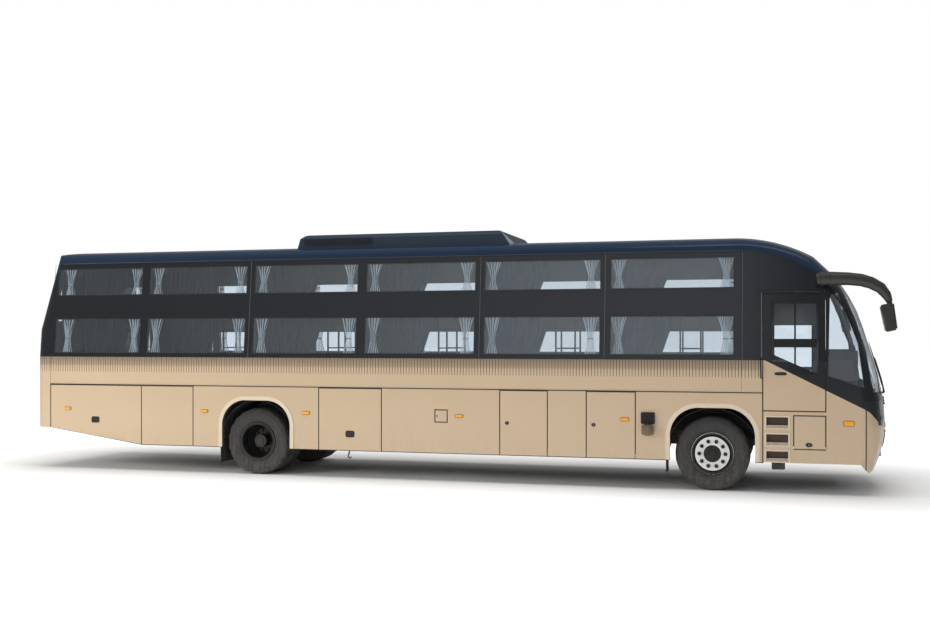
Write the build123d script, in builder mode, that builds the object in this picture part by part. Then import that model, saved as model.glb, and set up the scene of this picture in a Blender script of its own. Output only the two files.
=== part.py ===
# Sleeper coach: a 13.5 m two-axle bus with two rows of berth windows on each side,
# right-hand drive and the engine over the front axle.
# Millimetres. X forward, Y to the coach's left, Z up; the origin is on the ground
# under the middle of the coach.
import os
from math import atan2, cos, degrees, radians, sin, sqrt
from build123d import *

os.makedirs("parts", exist_ok=True)

# ------------------------------------------------------------------ driving dimensions
front_x = 6720.0              # foremost point of the body
rear_x = -6780.0              # rear face
half_width = 1275.0           # side planes below the belt
skirt_z = 430.0               # lower edge of the side panels
nose_skirt_z = 315.0          # lower edge of the front bumper
tail_skirt_z = 670.0          # lower edge of the rear bumper
rub_z = 1395.0                # moulding over the side flaps
belt_z = 1850.0               # where the window band starts
gutter_z = 3400.0             # where the side meets the roof panel
roof_z = 3645.0               # crown of the roof
side_lean = 0.097             # how far the window band leans in, per unit of height
wall = 60.0                   # body frame and skin together
skin = 25.0                   # flaps and thin panels
door_wall = 45.0
glass = 8.0
panel_gap = 6.0               # round every flap and door
seat_gap = 0.5                # round glass and other pieces that are let in
running_gap = 0.5             # round kingpins and spindles
soft_gap = 0.3                # under cushions and round tyre beads

front_axle_x = 4340.0
rear_axle_x = -2710.0
wheel_radius = 522.0
tyre_width = 295.0
front_track_y = 1060.0        # middle of a front tyre
rear_outer_y = 1080.0         # middle of an outer rear tyre
twin_spacing = 325.0
kingpin_y = 930.0

corner_radius = 250.0         # upright corners of the nose
tail_radius = 200.0           # upright corners of the tail
front_plan_radius = 5000.0    # bulge of the nose seen from above
shoulder_radius = 170.0       # between side and roof
shoulder_y = 965.0
shoulder_z = 3395.0
roof_break_x = 4600.0         # where the roof starts to fall to the nose
roof_nose_radius = 2300.0
tail_break_z = 2300.0         # over this height the rear face leans forward
tail_lean = 0.235
tail_roof_radius = 450.0
tail_bend_z = 3205.0          # here the tail starts to round into the roof

bumper_z = 950.0              # foremost height of the nose
bumper_radius = 1400.0        # of the nose below that, seen from the side
mask_radius = 2450.0          # of the nose over it
screen_z = 1650.0             # from here up the nose is as steep as the windscreen
screen_slope = 0.30
screen_bend_z = 2350.0
screen_radius = 1455.0        # of the upper windscreen, seen from the side

cap_x = 4740.0                # rear edge of the moulded front cap
door_rear_x = 5027.0
door_front_x = 5869.0
door_top_z = 2790.0
driver_door_z = 1144.0
entry_door_z = 470.0
tail_panel_x = -6475.0        # front edge of the rear corner panels
rear_bumper_top_z = 1170.0
bumper_knee_x = -4752.0       # from here the skirt rises to the tail

window_count = 6
window_front_x = 4640.0
window_pitch = 1889.0
window_width = 1750.0
tail_window_width = 1592.0
lower_window_z = 1918.0
lower_window_height = 559.0
upper_window_z = 2870.0
upper_window_height = 440.0

arch_half = 587.0
arch_top_z = 1175.0
arch_corner = 400.0
lip_width = 62.0
lip_depth = 12.0

floor_z = 1400.0              # top of the saloon floor
floor_plate = 40.0
cab_floor_z = 1100.0
rail_y = 390.0                # middle of a frame rail
rail_width = 80.0
rail_height = 250.0
rail_top_z = 1050.0
rail_wall = 10.0
rail_front_x = 6250.0
rail_rear_x = -6500.0
rail_mid_z = rail_top_z - rail_height / 2

tow_front_x = 6708.0          # mouths of the tow sockets
tow_rear_x = rear_x
tow_bore_radius = 26.0
tow_socket_radius = 45.0
tow_bore_depth = 120.0
tow_tip_depth = 15.0              # of the drilled cone at a bore's end
tow_gap = 5.0                 # between a socket and the panel it passes through


def export_node(part, name):
    part.label = name
    export_step(part, "parts/" + name + ".step")


# ------------------------------------------------------------------ form of the body
def side_y(z):
    return half_width - max(0.0, z - belt_z) * side_lean


def nose_setback(z):
    if z < bumper_z:
        return (bumper_z - z) ** 2 / (2 * bumper_radius)
    if z < screen_z:
        return (z - bumper_z) ** 2 / (2 * mask_radius)
    setback = (screen_z - bumper_z) ** 2 / (2 * mask_radius) + screen_slope * (z - screen_z)
    return setback + max(0.0, z - screen_bend_z) ** 2 / (2 * screen_radius)


def tail_setback(z):
    return tail_lean * max(0.0, z - tail_break_z)


def nose_sag(y):
    return front_plan_radius - sqrt(front_plan_radius ** 2 - y * y)


body_levels = (300, 460, 620, 780, bumper_z, 1300, screen_z, belt_z, tail_break_z,
               screen_bend_z + 200, screen_bend_z + 400, screen_bend_z + 550,
               screen_bend_z + 700, roof_z + 100)


def plan_outline(z, inset):
    """The body seen from above at one height, moved in by inset."""
    edge_y = side_y(z) - inset
    nose = front_x - nose_setback(z) - inset
    tail = rear_x + tail_setback(z) + inset
    shoulder_x = nose - nose_sag(edge_y)
    with BuildSketch(Plane.XY.offset(z)) as outline:
        with BuildLine():
            ThreePointArc((shoulder_x, -edge_y), (nose, 0), (shoulder_x, edge_y))
            Polyline((shoulder_x, edge_y), (tail, edge_y), (tail, -edge_y), (shoulder_x, -edge_y))
        make_face()
        fillet(outline.vertices().sort_by(Axis.X)[2:], radius=corner_radius - inset)
        fillet(outline.vertices().sort_by(Axis.X)[:2], radius=tail_radius - inset)
    return outline.sketch


def crown_outline(inset, base_z):
    """Cross-section of the roof, on the plane where it starts to fall to the nose."""
    rise = roof_z - shoulder_z
    crown_radius = (shoulder_y ** 2 + rise ** 2 - shoulder_radius ** 2) / (2 * (rise - shoulder_radius))
    turn = atan2(shoulder_z - roof_z + crown_radius, shoulder_y)
    radius = shoulder_radius - inset
    foot = (shoulder_y + radius, shoulder_z)
    bend = (shoulder_y + radius * cos(turn / 2), shoulder_z + radius * sin(turn / 2))
    crown = (shoulder_y + radius * cos(turn), shoulder_z + radius * sin(turn))
    clear_y = half_width + 300
    with BuildSketch(Plane.YZ.offset(roof_break_x)) as outline:
        with BuildLine():
            ThreePointArc(foot, bend, crown)
            ThreePointArc(crown, (0, roof_z - inset), (-crown[0], crown[1]))
            ThreePointArc((-crown[0], crown[1]), (-bend[0], bend[1]), (-foot[0], foot[1]))
            Polyline((-foot[0], foot[1]), (-clear_y, foot[1]), (-clear_y, base_z),
                     (clear_y, base_z), (clear_y, foot[1]), foot)
        make_face()
    return outline.sketch


def envelope(inset):
    """The body's outer form, moved in by inset, as one solid."""
    nose_axis_z = roof_z - roof_nose_radius
    side_block_z = 2750.0         # below this the roof form cuts nothing
    crown = crown_outline(inset, nose_axis_z)
    with BuildPart() as roof_form:
        extrude(crown, amount=rear_x - roof_break_x - 100)
        revolve(crown, axis=Axis((roof_break_x, 0, nose_axis_z), (0, 1, 0)), revolution_arc=90)
        with Locations((0, 0, side_block_z / 2)):
            Box(3 * front_x, 3 * half_width, side_block_z)
    tail_x = rear_x + inset + tail_setback(tail_bend_z)
    roof_start = tail_x + 0.72 * tail_roof_radius
    with BuildSketch(Plane.XZ) as tail_form:
        with BuildLine():
            tail_arc = RadiusArc((tail_x, tail_bend_z), (roof_start, roof_z + 20), tail_roof_radius)
            Polyline(tail_arc @ 1, (roof_start, roof_z + 600), (front_x + 500, roof_z + 600),
                     (front_x + 500, 0), (rear_x - 500, 0), (rear_x - 500, tail_bend_z), tail_arc @ 0)
        make_face()
    with BuildPart() as form:
        loft(sections=[plan_outline(z, inset) for z in body_levels], ruled=True)
        add(roof_form.part, mode=Mode.INTERSECT)
        extrude(tail_form.sketch, amount=2 * half_width, both=True, mode=Mode.INTERSECT)
    return form.part


def side_prism(points, inner_y=900.0, outer_y=1500.0):
    """A prism across one side of the coach from an outline of (x, z) points; the right side."""
    with BuildPart() as prism:
        with BuildSketch(Plane.XZ.offset(inner_y)):
            Polygon(*points, align=None)
        extrude(amount=outer_y - inner_y)
    return prism.part


def rectangle_points(x0, x1, z0, z1):
    return [(x0, z0), (x1, z0), (x1, z1), (x0, z1)]


def mirrored(part):
    return mirror(part, about=Plane.XZ)


outer_form = envelope(0)
inner_form = envelope(wall)

with BuildPart() as skirt_cut:
    with BuildSketch(Plane.XZ):
        with BuildLine():
            Polyline((rear_x - 100, 0), (rear_x - 100, tail_skirt_z), (tail_panel_x, tail_skirt_z),
                     (bumper_knee_x, skirt_z), (front_x - 400, skirt_z), (front_x - 300, nose_skirt_z),
                     (front_x + 100, nose_skirt_z), (front_x + 100, 0), (rear_x - 100, 0))
        make_face()
    extrude(amount=2 * half_width, both=True)

with BuildPart() as body_shell:
    add(outer_form)
    add(inner_form, mode=Mode.SUBTRACT)
    add(skirt_cut.part, mode=Mode.SUBTRACT)


def skin_layer(thickness):
    """The outermost layer of the body, of one thickness."""
    with BuildPart() as layer:
        add(outer_form)
        add(envelope(thickness), mode=Mode.SUBTRACT)
        add(skirt_cut.part, mode=Mode.SUBTRACT)
    return layer.part


glass_layer = skin_layer(glass)
flap_layer = skin_layer(skin)
door_layer = skin_layer(door_wall)


# ------------------------------------------------------------------ openings of the sides
# window bays, from the front: front edge, width
window_bays = [(window_front_x - index * window_pitch,
                tail_window_width if index == window_count - 1 else window_width)
               for index in range(window_count)]
window_rows = ((lower_window_z, lower_window_height), (upper_window_z, upper_window_height))


def window_outlines(clearance):
    return [rectangle_points(bay_front - width + clearance, bay_front - clearance,
                             base_z + clearance, base_z + height - clearance)
            for bay_front, width in window_bays for base_z, height in window_rows]


# side lids: name, rear edge, front edge, lower edge, upper edge
flap_top_z = rub_z - 8
flap_rear = ("flap_rear", tail_panel_x, bumper_knee_x, 0.0, flap_top_z)
flap_mid = ("flap_mid", -1641.0, -601.0, 0.0, flap_top_z)
bay_aft = ("bay_aft", 1257.0, 1982.0, 0.0, flap_top_z)
bay_fore = ("bay_fore", 2551.0, 3267.0, 0.0, flap_top_z)
locker = ("locker", 5441.0, door_front_x, 620.0, 1089.0)
fuel_lid = ("fuel", 250.0, 450.0, 890.0, 1080.0)
right_lids = (flap_rear, flap_mid, bay_aft, bay_fore, fuel_lid)
left_lids = (flap_rear, flap_mid)


def lid_outline(lid, clearance):
    name, x0, x1, z0, z1 = lid
    return rectangle_points(x0 + clearance, x1 - clearance, z0 + clearance, z1 - clearance)


def arch_outline(axle_x, grow, plane_y):
    """A wheel opening with flattened top, on an upright plane at the right of the coach."""
    half = arch_half + grow
    top = arch_top_z + grow
    with BuildSketch(Plane.XZ.offset(plane_y)) as outline:
        with Locations((axle_x, top / 2)):
            Rectangle(2 * half, top)
        fillet(outline.vertices().sort_by(Axis.Y)[-2:], radius=arch_corner + grow)
    return outline.sketch


def wheel_gap(axle_x):
    with BuildPart() as gap:
        extrude(arch_outline(axle_x, 0, half_width - 2 * wall), amount=400)
    return gap.part


def door_outline(low_z, clearance):
    return rectangle_points(door_rear_x + clearance, door_front_x - clearance,
                            low_z + clearance, door_top_z - clearance)


# ------------------------------------------------------------------ side walls
def side_wall(lids):
    """A right-hand side wall with its windows, wheel arches and lid openings."""
    with BuildPart() as panel:
        add(body_shell.part)
        with Locations(((tail_panel_x + cap_x) / 2, -half_width, gutter_z / 2)):
            Box(cap_x - tail_panel_x, 800, gutter_z, mode=Mode.INTERSECT)
        outlines = window_outlines(0) + [lid_outline(lid, 0) for lid in lids]
        gaps = [side_prism(outline) for outline in outlines]
        gaps += [wheel_gap(rear_axle_x), wheel_gap(front_axle_x)]
        add(gaps, mode=Mode.SUBTRACT)
    return panel.part


export_node(side_wall(right_lids), "side_wall_right")
export_node(mirrored(side_wall(left_lids)), "side_wall_left")

with BuildPart() as arch_trims:
    for axle_x in (rear_axle_x, front_axle_x):
        extrude(arch_outline(axle_x, lip_width, half_width), amount=lip_depth)
        extrude(arch_outline(axle_x, 0, half_width), amount=lip_depth, mode=Mode.SUBTRACT)
    with Locations((0, -half_width, skirt_z / 2)):
        Box(2 * front_x, 200, skirt_z, mode=Mode.SUBTRACT)
    mirror(about=Plane.XZ)
export_node(arch_trims.part, "arch_trims")


# ------------------------------------------------------------------ roof, nose and tail
with BuildPart() as roof:
    add(body_shell.part)
    with Locations(((rear_x - 100 + cap_x) / 2, 0, gutter_z + 500)):
        Box(cap_x - rear_x + 100, 4 * half_width, 1000, mode=Mode.INTERSECT)
export_node(roof.part, "roof")

# the windscreen's rear edge on the side, from its foot up
screen_edge = [(6492.0, 1420.0), (6454.0, 1588.0), (6390.0, 1996.0), (6261.0, 2406.0),
               (6092.0, 2818.0), (5985.0, 3015.0)]
quarter_corners = [(5923.0, 2751.0), (6027.0, 2791.0), (6287.0, 2092.0), (6364.0, 1478.0),
                   (5897.0, 1638.0)]


def screen_prism(clearance):
    """Side view of the windscreen opening, across the nose and round both its corners."""
    edge = [(x + clearance, z) for x, z in screen_edge[1:-1]]
    foot = (screen_edge[0][0] + clearance, screen_edge[0][1] + clearance)
    head = (screen_edge[-1][0] + clearance, screen_edge[-1][1] - clearance)
    with BuildPart() as prism:
        with BuildSketch(Plane.XZ):
            Polygon(foot, *edge, head, (front_x + 300, head[1]), (front_x + 300, foot[1]), align=None)
        extrude(amount=2 * half_width, both=True)
    return prism.part


lamp_low_z = 930.0
lamp_high_z = 1190.0
lamp_outer_y = 1180.0
lamp_inner_y = 700.0
lamp_depth = 40.0
fog_z = 740.0
fog_radius = 55.0
fog_y = 900.0


def lamp_prism(clearance):
    """Space of a right-hand head lamp."""
    low_z = lamp_low_z + clearance
    high_z = lamp_high_z - clearance
    outer_y = -lamp_outer_y + clearance
    inner_y = -lamp_inner_y - clearance
    with BuildPart() as prism:
        with BuildSketch(Plane.YZ.offset(front_x - 420)):
            Polygon((outer_y, low_z + 40), (inner_y, low_z), (inner_y - 60, high_z - 60),
                    (outer_y, high_z), align=None)
        extrude(amount=600)
    return prism.part


def fog_prism(clearance):
    with BuildPart() as prism:
        with BuildSketch(Plane.YZ.offset(front_x - 300)):
            with Locations((-fog_y, fog_z)):
                Circle(fog_radius - clearance)
        extrude(amount=500)
    return prism.part


# steps below the driver's door: lower edge, upper edge
step_pockets = ((449.0, 588.0), (671.0, 824.0), (908.0, 1061.0))
steps_rear_x = 5047.0
steps_front_x = 5401.0
steps_top_z = 1090.0

def tow_hole(mouth_x):
    with BuildPart() as hole:
        with Locations(Location((mouth_x, -rail_y, rail_mid_z), (0, 90, 0))):
            Cylinder(tow_socket_radius + tow_gap, 600)
    return hole.part


nose_openings = [screen_prism(0), side_prism(door_outline(driver_door_z, 0)),
                 mirrored(side_prism(door_outline(entry_door_z, 0))),
                 side_prism(quarter_corners), mirrored(side_prism(quarter_corners))]

with BuildPart() as front_cap:
    add(body_shell.part)
    with Locations(((cap_x + front_x + 300) / 2, 0, belt_z + 1000)):
        Box(front_x + 300 - cap_x, 4 * half_width, 2000, mode=Mode.INTERSECT)
    add(nose_openings, mode=Mode.SUBTRACT)
export_node(front_cap.part, "front_cap")

with BuildPart() as front_mask:
    add(body_shell.part)
    with Locations(((cap_x + front_x + 300) / 2, 0, belt_z / 2)):
        Box(front_x + 300 - cap_x, 4 * half_width, belt_z, mode=Mode.INTERSECT)
    add(nose_openings, mode=Mode.SUBTRACT)
    add(side_prism(lid_outline(locker, 0)), mode=Mode.SUBTRACT)
    add(side_prism(rectangle_points(steps_rear_x, steps_front_x, 0, steps_top_z)), mode=Mode.SUBTRACT)
    add(tow_hole(tow_front_x), mode=Mode.SUBTRACT)
    for prism in (wheel_gap(front_axle_x), lamp_prism(0), fog_prism(0)):
        add(prism, mode=Mode.SUBTRACT)
        add(mirrored(prism), mode=Mode.SUBTRACT)
export_node(front_mask.part, "front_mask")

boot_half = 800.0
boot_low_z = 1190.0
boot_high_z = 1900.0
tail_window_half = 850.0
tail_window_low_z = 2450.0
tail_window_high_z = 3050.0
tail_lamp_inner_y = 930.0
tail_lamp_outer_y = 1060.0
tail_lamp_low_z = 1300.0
tail_lamp_high_z = 1850.0


def tail_prism(y0, y1, z0, z1, clearance):
    with BuildPart() as prism:
        with Locations((rear_x, (y0 + y1) / 2, (z0 + z1) / 2)):
            Box(1200, y1 - y0 - 2 * clearance, z1 - z0 - 2 * clearance)
    return prism.part


boot_frame = (-boot_half, boot_half, boot_low_z, boot_high_z)
tail_window = (-tail_window_half, tail_window_half, tail_window_low_z, tail_window_high_z)
tail_lamp = (-tail_lamp_outer_y, -tail_lamp_inner_y, tail_lamp_low_z, tail_lamp_high_z)

with BuildPart() as rear_wall:
    add(body_shell.part)
    with Locations(((rear_x - 100 + tail_panel_x) / 2, 0, (rear_bumper_top_z + gutter_z) / 2)):
        Box(tail_panel_x - rear_x + 100, 4 * half_width, gutter_z - rear_bumper_top_z,
            mode=Mode.INTERSECT)
    for prism in (tail_prism(*boot_frame, 0), tail_prism(*tail_window, 0), tail_prism(*tail_lamp, 0),
                  mirrored(tail_prism(*tail_lamp, 0))):
        add(prism, mode=Mode.SUBTRACT)
export_node(rear_wall.part, "rear_wall")

with BuildPart() as rear_bumper:
    add(body_shell.part)
    with Locations(((rear_x - 100 + tail_panel_x) / 2, 0, rear_bumper_top_z / 2)):
        Box(tail_panel_x - rear_x + 100, 4 * half_width, rear_bumper_top_z, mode=Mode.INTERSECT)
    add(tow_hole(tow_rear_x), mode=Mode.SUBTRACT)
export_node(rear_bumper.part, "rear_bumper")

with BuildPart() as pane_prisms:
    add([side_prism(outline) for outline in window_outlines(seat_gap)])
    mirror(about=Plane.XZ)
    add(tail_prism(*tail_window, seat_gap))
    add(screen_prism(seat_gap))
with BuildPart() as quarter_prisms:
    add(side_prism(quarter_corners))
    mirror(about=Plane.XZ)
with BuildPart() as quarter_panes:
    add(glass_layer)
    add(quarter_prisms.part, mode=Mode.INTERSECT)
with BuildPart() as fixed_glass:
    add(glass_layer)
    add(pane_prisms.part, mode=Mode.INTERSECT)
    add(quarter_panes.part)
export_node(fixed_glass.part, "fixed_glass")

with BuildPart() as lamp_prisms:
    add(lamp_prism(seat_gap))
    add(fog_prism(seat_gap))
    add(tail_prism(*tail_lamp, seat_gap))
    mirror(about=Plane.XZ)
# side marker lamps on the fixed panels, and the turn lamps on the nose corners
marker_xs = (-3611.0, -1851.0, 632.0, 6167.0)
marker_z = 990.0
marker_depth = 14.0
with BuildPart() as markers:
    for x in marker_xs:
        with Locations((x, -half_width - marker_depth / 2, marker_z)):
            Box(120, marker_depth, 45)
    mirror(about=Plane.XZ)
with BuildPart() as lamps:
    add(skin_layer(lamp_depth))
    add(lamp_prisms.part, mode=Mode.INTERSECT)
    add(markers.part)
export_node(lamps.part, "lamps")


# ------------------------------------------------------------------ lids and doors
# A hinge barrel lies on its lid's edge, flush with the skin, and turns in the panel gap there.
barrel_radius = panel_gap - 1.3
hinge_y = half_width - barrel_radius


def side_lid(lid, hinged_at_front):
    name, x0, x1, z0, z1 = lid
    with BuildPart() as panel:
        add(flap_layer)
        add(side_prism(lid_outline(lid, panel_gap)), mode=Mode.INTERSECT)
        lower_z = max(z0, skirt_z)
        for share in (0.2, 0.8):
            if hinged_at_front:
                place = Location((x1 - panel_gap, -hinge_y, lower_z + share * (z1 - lower_z)))
                length = 0.12 * (z1 - lower_z)
            else:
                place = Location((x0 + share * (x1 - x0), -hinge_y, z1 - panel_gap), (0, 90, 0))
                length = 0.12 * (x1 - x0)
            with Locations(place):
                Cylinder(barrel_radius, length)
    return panel.part


front_hinged = (bay_aft, bay_fore, fuel_lid)
for lid in (*right_lids, locker):
    export_node(side_lid(lid, lid in front_hinged), lid[0] + "_right")
for lid in left_lids:
    export_node(mirrored(side_lid(lid, lid in front_hinged)), lid[0] + "_left")

with BuildPart() as boot_lid:
    add(flap_layer)
    add(tail_prism(*boot_frame, panel_gap), mode=Mode.INTERSECT)
    with Locations((front_x, 0, boot_low_z)):
        Box(front_x, 4 * half_width, roof_z, mode=Mode.SUBTRACT)
    for y in (-0.6 * boot_half, 0.6 * boot_half):
        with Locations(Location((rear_x + barrel_radius, y, boot_high_z - panel_gap), (90, 0, 0))):
            Cylinder(barrel_radius, 120)
export_node(boot_lid.part, "boot_lid")

# glass of the cab doors: lower rear corner first, then round
driver_window = [(5154.0, 1714.0), (5766.0, 1640.0), (5766.0, 2660.0), (5154.0, 2660.0)]
entry_window = [(5154.0, 700.0), (5766.0, 700.0), (5766.0, 2660.0), (5154.0, 2660.0)]


def inset_corners(points, clearance):
    signs = ((1, 1), (-1, 1), (-1, -1), (1, -1))
    return [(x + sx * clearance, z + sz * clearance) for (x, z), (sx, sz) in zip(points, signs)]


def cab_door(low_z, window):
    with BuildPart() as leaf:
        add(door_layer)
        add(side_prism(door_outline(low_z, panel_gap)), mode=Mode.INTERSECT)
        add(side_prism(window), mode=Mode.SUBTRACT)
        for z in (low_z + 150, belt_z - 150):
            with Locations((door_front_x - panel_gap, -hinge_y, z)):
                Cylinder(barrel_radius, 110)
    return leaf.part


def door_pane(window):
    with BuildPart() as pane:
        add(glass_layer)
        add(side_prism(inset_corners(window, seat_gap)), mode=Mode.INTERSECT)
    return pane.part


export_node(cab_door(driver_door_z, driver_window), "driver_door")
export_node(door_pane(driver_window), "driver_door_glass")
export_node(mirrored(cab_door(entry_door_z, entry_window)), "entry_door")
export_node(mirrored(door_pane(entry_window)), "entry_door_glass")

step_depth = 150.0
steps_mid_x = (steps_rear_x + steps_front_x) / 2
with BuildPart() as driver_steps:
    with Locations((steps_mid_x, -half_width + 95, (skirt_z + steps_top_z) / 2)):
        Box(steps_front_x - steps_rear_x - 2 * seat_gap, 190, steps_top_z - skirt_z - 2 * seat_gap)
    for low_z, high_z in step_pockets:
        with Locations((steps_mid_x, -half_width + step_depth / 2, (low_z + high_z) / 2)):
            Box(steps_front_x - steps_rear_x - 60, step_depth, high_z - low_z, mode=Mode.SUBTRACT)
export_node(driver_steps.part, "driver_steps")

first_tread_z = skirt_z + 80
entry_rise = (cab_floor_z - first_tread_z) / 3
entry_plate = 50.0
cab_deck_edge = 575.0         # of the driver's deck, beside the entry stair
# treads of the entry stair: outer edge, inner edge, height
entry_treads = [(half_width - wall, 940, first_tread_z), (990, 750, first_tread_z + entry_rise),
                (800, cab_deck_edge, first_tread_z + 2 * entry_rise)]
door_mid_x = (door_rear_x + door_front_x) / 2
tread_length = door_front_x - door_rear_x - 60
with BuildPart() as entry_steps:
    for outer_y, inner_y, top_z in entry_treads:
        with Locations((door_mid_x, (outer_y + inner_y) / 2, top_z - entry_plate / 2)):
            Box(tread_length, outer_y - inner_y, entry_plate)
        with Locations((door_mid_x, inner_y + entry_plate / 2, top_z + entry_rise / 2)):
            Box(tread_length, entry_plate, entry_rise)


# ------------------------------------------------------------------ frame and floors
cross_xs = (6150, 3850, 1900, 300, -1300, -2000, -3500, -5000, -6400)
tow_plug_length = 120.0
rail_outer_y = rail_y + rail_width / 2

with BuildPart() as chassis_frame:
    with BuildSketch(Plane.YZ.offset(rail_rear_x)):
        for side in (1, -1):
            with Locations((side * rail_y, rail_mid_z)):
                Rectangle(rail_width, rail_height)
            with Locations((side * (rail_y - rail_wall), rail_mid_z)):
                Rectangle(rail_width, rail_height - 2 * rail_wall, mode=Mode.SUBTRACT)
    extrude(amount=rail_front_x - rail_rear_x)
    for x in cross_xs:
        with Locations((x, 0, rail_mid_z)):
            Box(90, 2 * (rail_outer_y - rail_wall), 120)
    for end_x, mouth_x in ((rail_front_x, tow_front_x), (rail_rear_x, tow_rear_x)):
        outward = 1 if mouth_x > end_x else -1
        with Locations((end_x - outward * tow_plug_length / 2, -rail_y, rail_mid_z)):
            Box(tow_plug_length, rail_width, 2 * tow_socket_radius)
        with Locations(Location(((end_x + mouth_x) / 2, -rail_y, rail_mid_z), (0, 90, 0))):
            Cylinder(tow_socket_radius, abs(mouth_x - end_x))
        with Locations(Location((mouth_x - outward * tow_bore_depth / 2, -rail_y, rail_mid_z), (0, 90, 0))):
            Cylinder(tow_bore_radius, tow_bore_depth, mode=Mode.SUBTRACT)
        tip_x = mouth_x - outward * (tow_bore_depth + tow_tip_depth / 2)
        with Locations(Location((tip_x, -rail_y, rail_mid_z), (0, -90 * outward, 0))):
            Cone(tow_bore_radius, 0, tow_tip_depth, mode=Mode.SUBTRACT)
export_node(chassis_frame.part, "chassis_frame")

floor_half = half_width - wall
bearer_count = 10
bearer_height = 80.0
bearer_pitch = (cap_x - tail_panel_x - 300) / (bearer_count - 1)
sill_z = floor_z - floor_plate
with BuildPart() as floor:
    with Locations(((tail_panel_x + cap_x) / 2, 0, floor_z - floor_plate / 2)):
        Box(cap_x - tail_panel_x, 2 * floor_half, floor_plate)
    for index in range(bearer_count):
        with Locations((tail_panel_x + 150 + index * bearer_pitch, 0, sill_z - bearer_height / 2)):
            Box(60, 2 * floor_half, bearer_height)
    for side in (1, -1):
        with Locations(((tail_panel_x + cap_x) / 2, side * rail_y, (sill_z + rail_top_z) / 2)):
            Box(cap_x - tail_panel_x, 60, sill_z - rail_top_z)
export_node(floor.part, "floor")

cab_deck_rear = cap_x + 20
cab_deck_front = 6380.0
deck_plate = cab_floor_z - rail_top_z
hump_height = 460.0
hump_half = 430.0
hump_wall = 30.0
hump_rear_x = 4800.0
hump_front_x = 5900.0
hump_mid_x = (hump_rear_x + hump_front_x) / 2
deck_low_z = cab_floor_z - deck_plate
with BuildPart() as cab_floor:
    with BuildSketch(Plane.XY.offset(cab_floor_z - deck_plate)):
        Polygon((cab_deck_rear, -1060), (5900, -1060), (6250, -900), (cab_deck_front, -600),
                (cab_deck_front, 600), (6250, 900), (door_front_x + 20, 900),
                (door_front_x + 20, cab_deck_edge), (cab_deck_rear, cab_deck_edge), align=None)
    extrude(amount=deck_plate)
    with Locations((hump_mid_x, 0, deck_low_z + (hump_height + deck_plate) / 2)):
        Box(hump_front_x - hump_rear_x, 2 * hump_half, hump_height + deck_plate)
    with Locations((hump_mid_x, 0, deck_low_z + (hump_height + deck_plate - hump_wall) / 2)):
        Box(hump_front_x - hump_rear_x - 2 * hump_wall, 2 * (hump_half - hump_wall),
            hump_height + deck_plate - hump_wall, mode=Mode.SUBTRACT)
with BuildPart() as cab_deck:
    add(cab_floor.part)
    add(entry_steps.part)
export_node(cab_deck.part, "cab_floor")

engine_rear_x = 4850.0
engine_front_x = 5690.0
engine_low_z = 570.0
engine_top_z = 1410.0
radiator_depth = 140.0
with BuildPart() as engine:
    with Locations(((engine_rear_x + engine_front_x) / 2, 0, (engine_low_z + engine_top_z) / 2)):
        Box(engine_front_x - engine_rear_x, 600, engine_top_z - engine_low_z)
    with Locations((engine_front_x + radiator_depth / 2, 0, (engine_low_z + engine_top_z) / 2)):
        Box(radiator_depth, 640, engine_top_z - engine_low_z - 200)
    for x in (engine_rear_x + 150, engine_front_x - 150):
        with Locations((x, 0, rail_mid_z)):
            Box(80, 2 * (rail_outer_y - rail_wall), 60)

gearbox_rear_x = 4050.0
shaft_radius = 55.0
shaft_front_z = 800.0
pinion_x = -2450.0
with BuildPart() as driveline:
    with BuildSketch(Plane.YZ.offset(gearbox_rear_x)):
        with Locations((0, shaft_front_z + 50)):
            Rectangle(360, 380)
    with BuildSketch(Plane.YZ.offset(engine_rear_x - seat_gap)):
        with Locations((0, shaft_front_z + 40)):
            Rectangle(480, 400)
    loft()
    shaft_rear_x = pinion_x + 3
    shaft_run = Vector(gearbox_rear_x - shaft_rear_x, 0, shaft_front_z - wheel_radius)
    with BuildSketch(Plane(origin=(shaft_rear_x, 0, wheel_radius), z_dir=shaft_run)):
        Circle(shaft_radius)
    extrude(amount=shaft_run.length)
with BuildPart() as powertrain:
    add(engine.part)
    add(driveline.part)
export_node(powertrain.part, "powertrain")


# ------------------------------------------------------------------ axles and springs
beam_half = 50.0
eye_radius = 55.0
eye_low_z = 460.0
eye_high_z = 585.0
beam_low_z = 420.0
beam_pad_z = 530.0
kingpin_radius = 22.0
with BuildPart() as front_axle:
    with BuildSketch(Plane.YZ.offset(front_axle_x - beam_half)):
        Polygon((-kingpin_y, eye_low_z), (-700, eye_low_z), (-520, beam_low_z), (520, beam_low_z),
                (700, eye_low_z), (kingpin_y, eye_low_z), (kingpin_y, 550), (720, 550),
                (500, beam_pad_z), (-500, beam_pad_z), (-720, 550), (-kingpin_y, 550), align=None)
    extrude(amount=2 * beam_half)
    for side in (1, -1):
        with Locations((front_axle_x, side * kingpin_y, (eye_low_z + eye_high_z) / 2)):
            Cylinder(eye_radius, eye_high_z - eye_low_z)
            Cylinder(kingpin_radius, eye_high_z - eye_low_z + 10, mode=Mode.SUBTRACT)
export_node(front_axle.part, "front_axle")

axle_tube_radius = 78.0
axle_tube_y = 640.0
banjo_radius = 200.0
banjo_half = 120.0
rear_spindle_radius = 48.0
rear_spindle_y = rear_outer_y - twin_spacing / 2 + 90
with BuildPart() as rear_axle:
    with Locations(Location((rear_axle_x, 0, wheel_radius), (90, 0, 0))):
        Cylinder(axle_tube_radius, 2 * axle_tube_y)
        Cylinder(rear_spindle_radius, 2 * rear_spindle_y)
        Cylinder(banjo_radius, 2 * banjo_half)
    with Locations(Location(((rear_axle_x + pinion_x) / 2, 0, wheel_radius), (0, 90, 0))):
        Cylinder(90, pinion_x - rear_axle_x)
export_node(rear_axle.part, "rear_axle")

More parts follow.
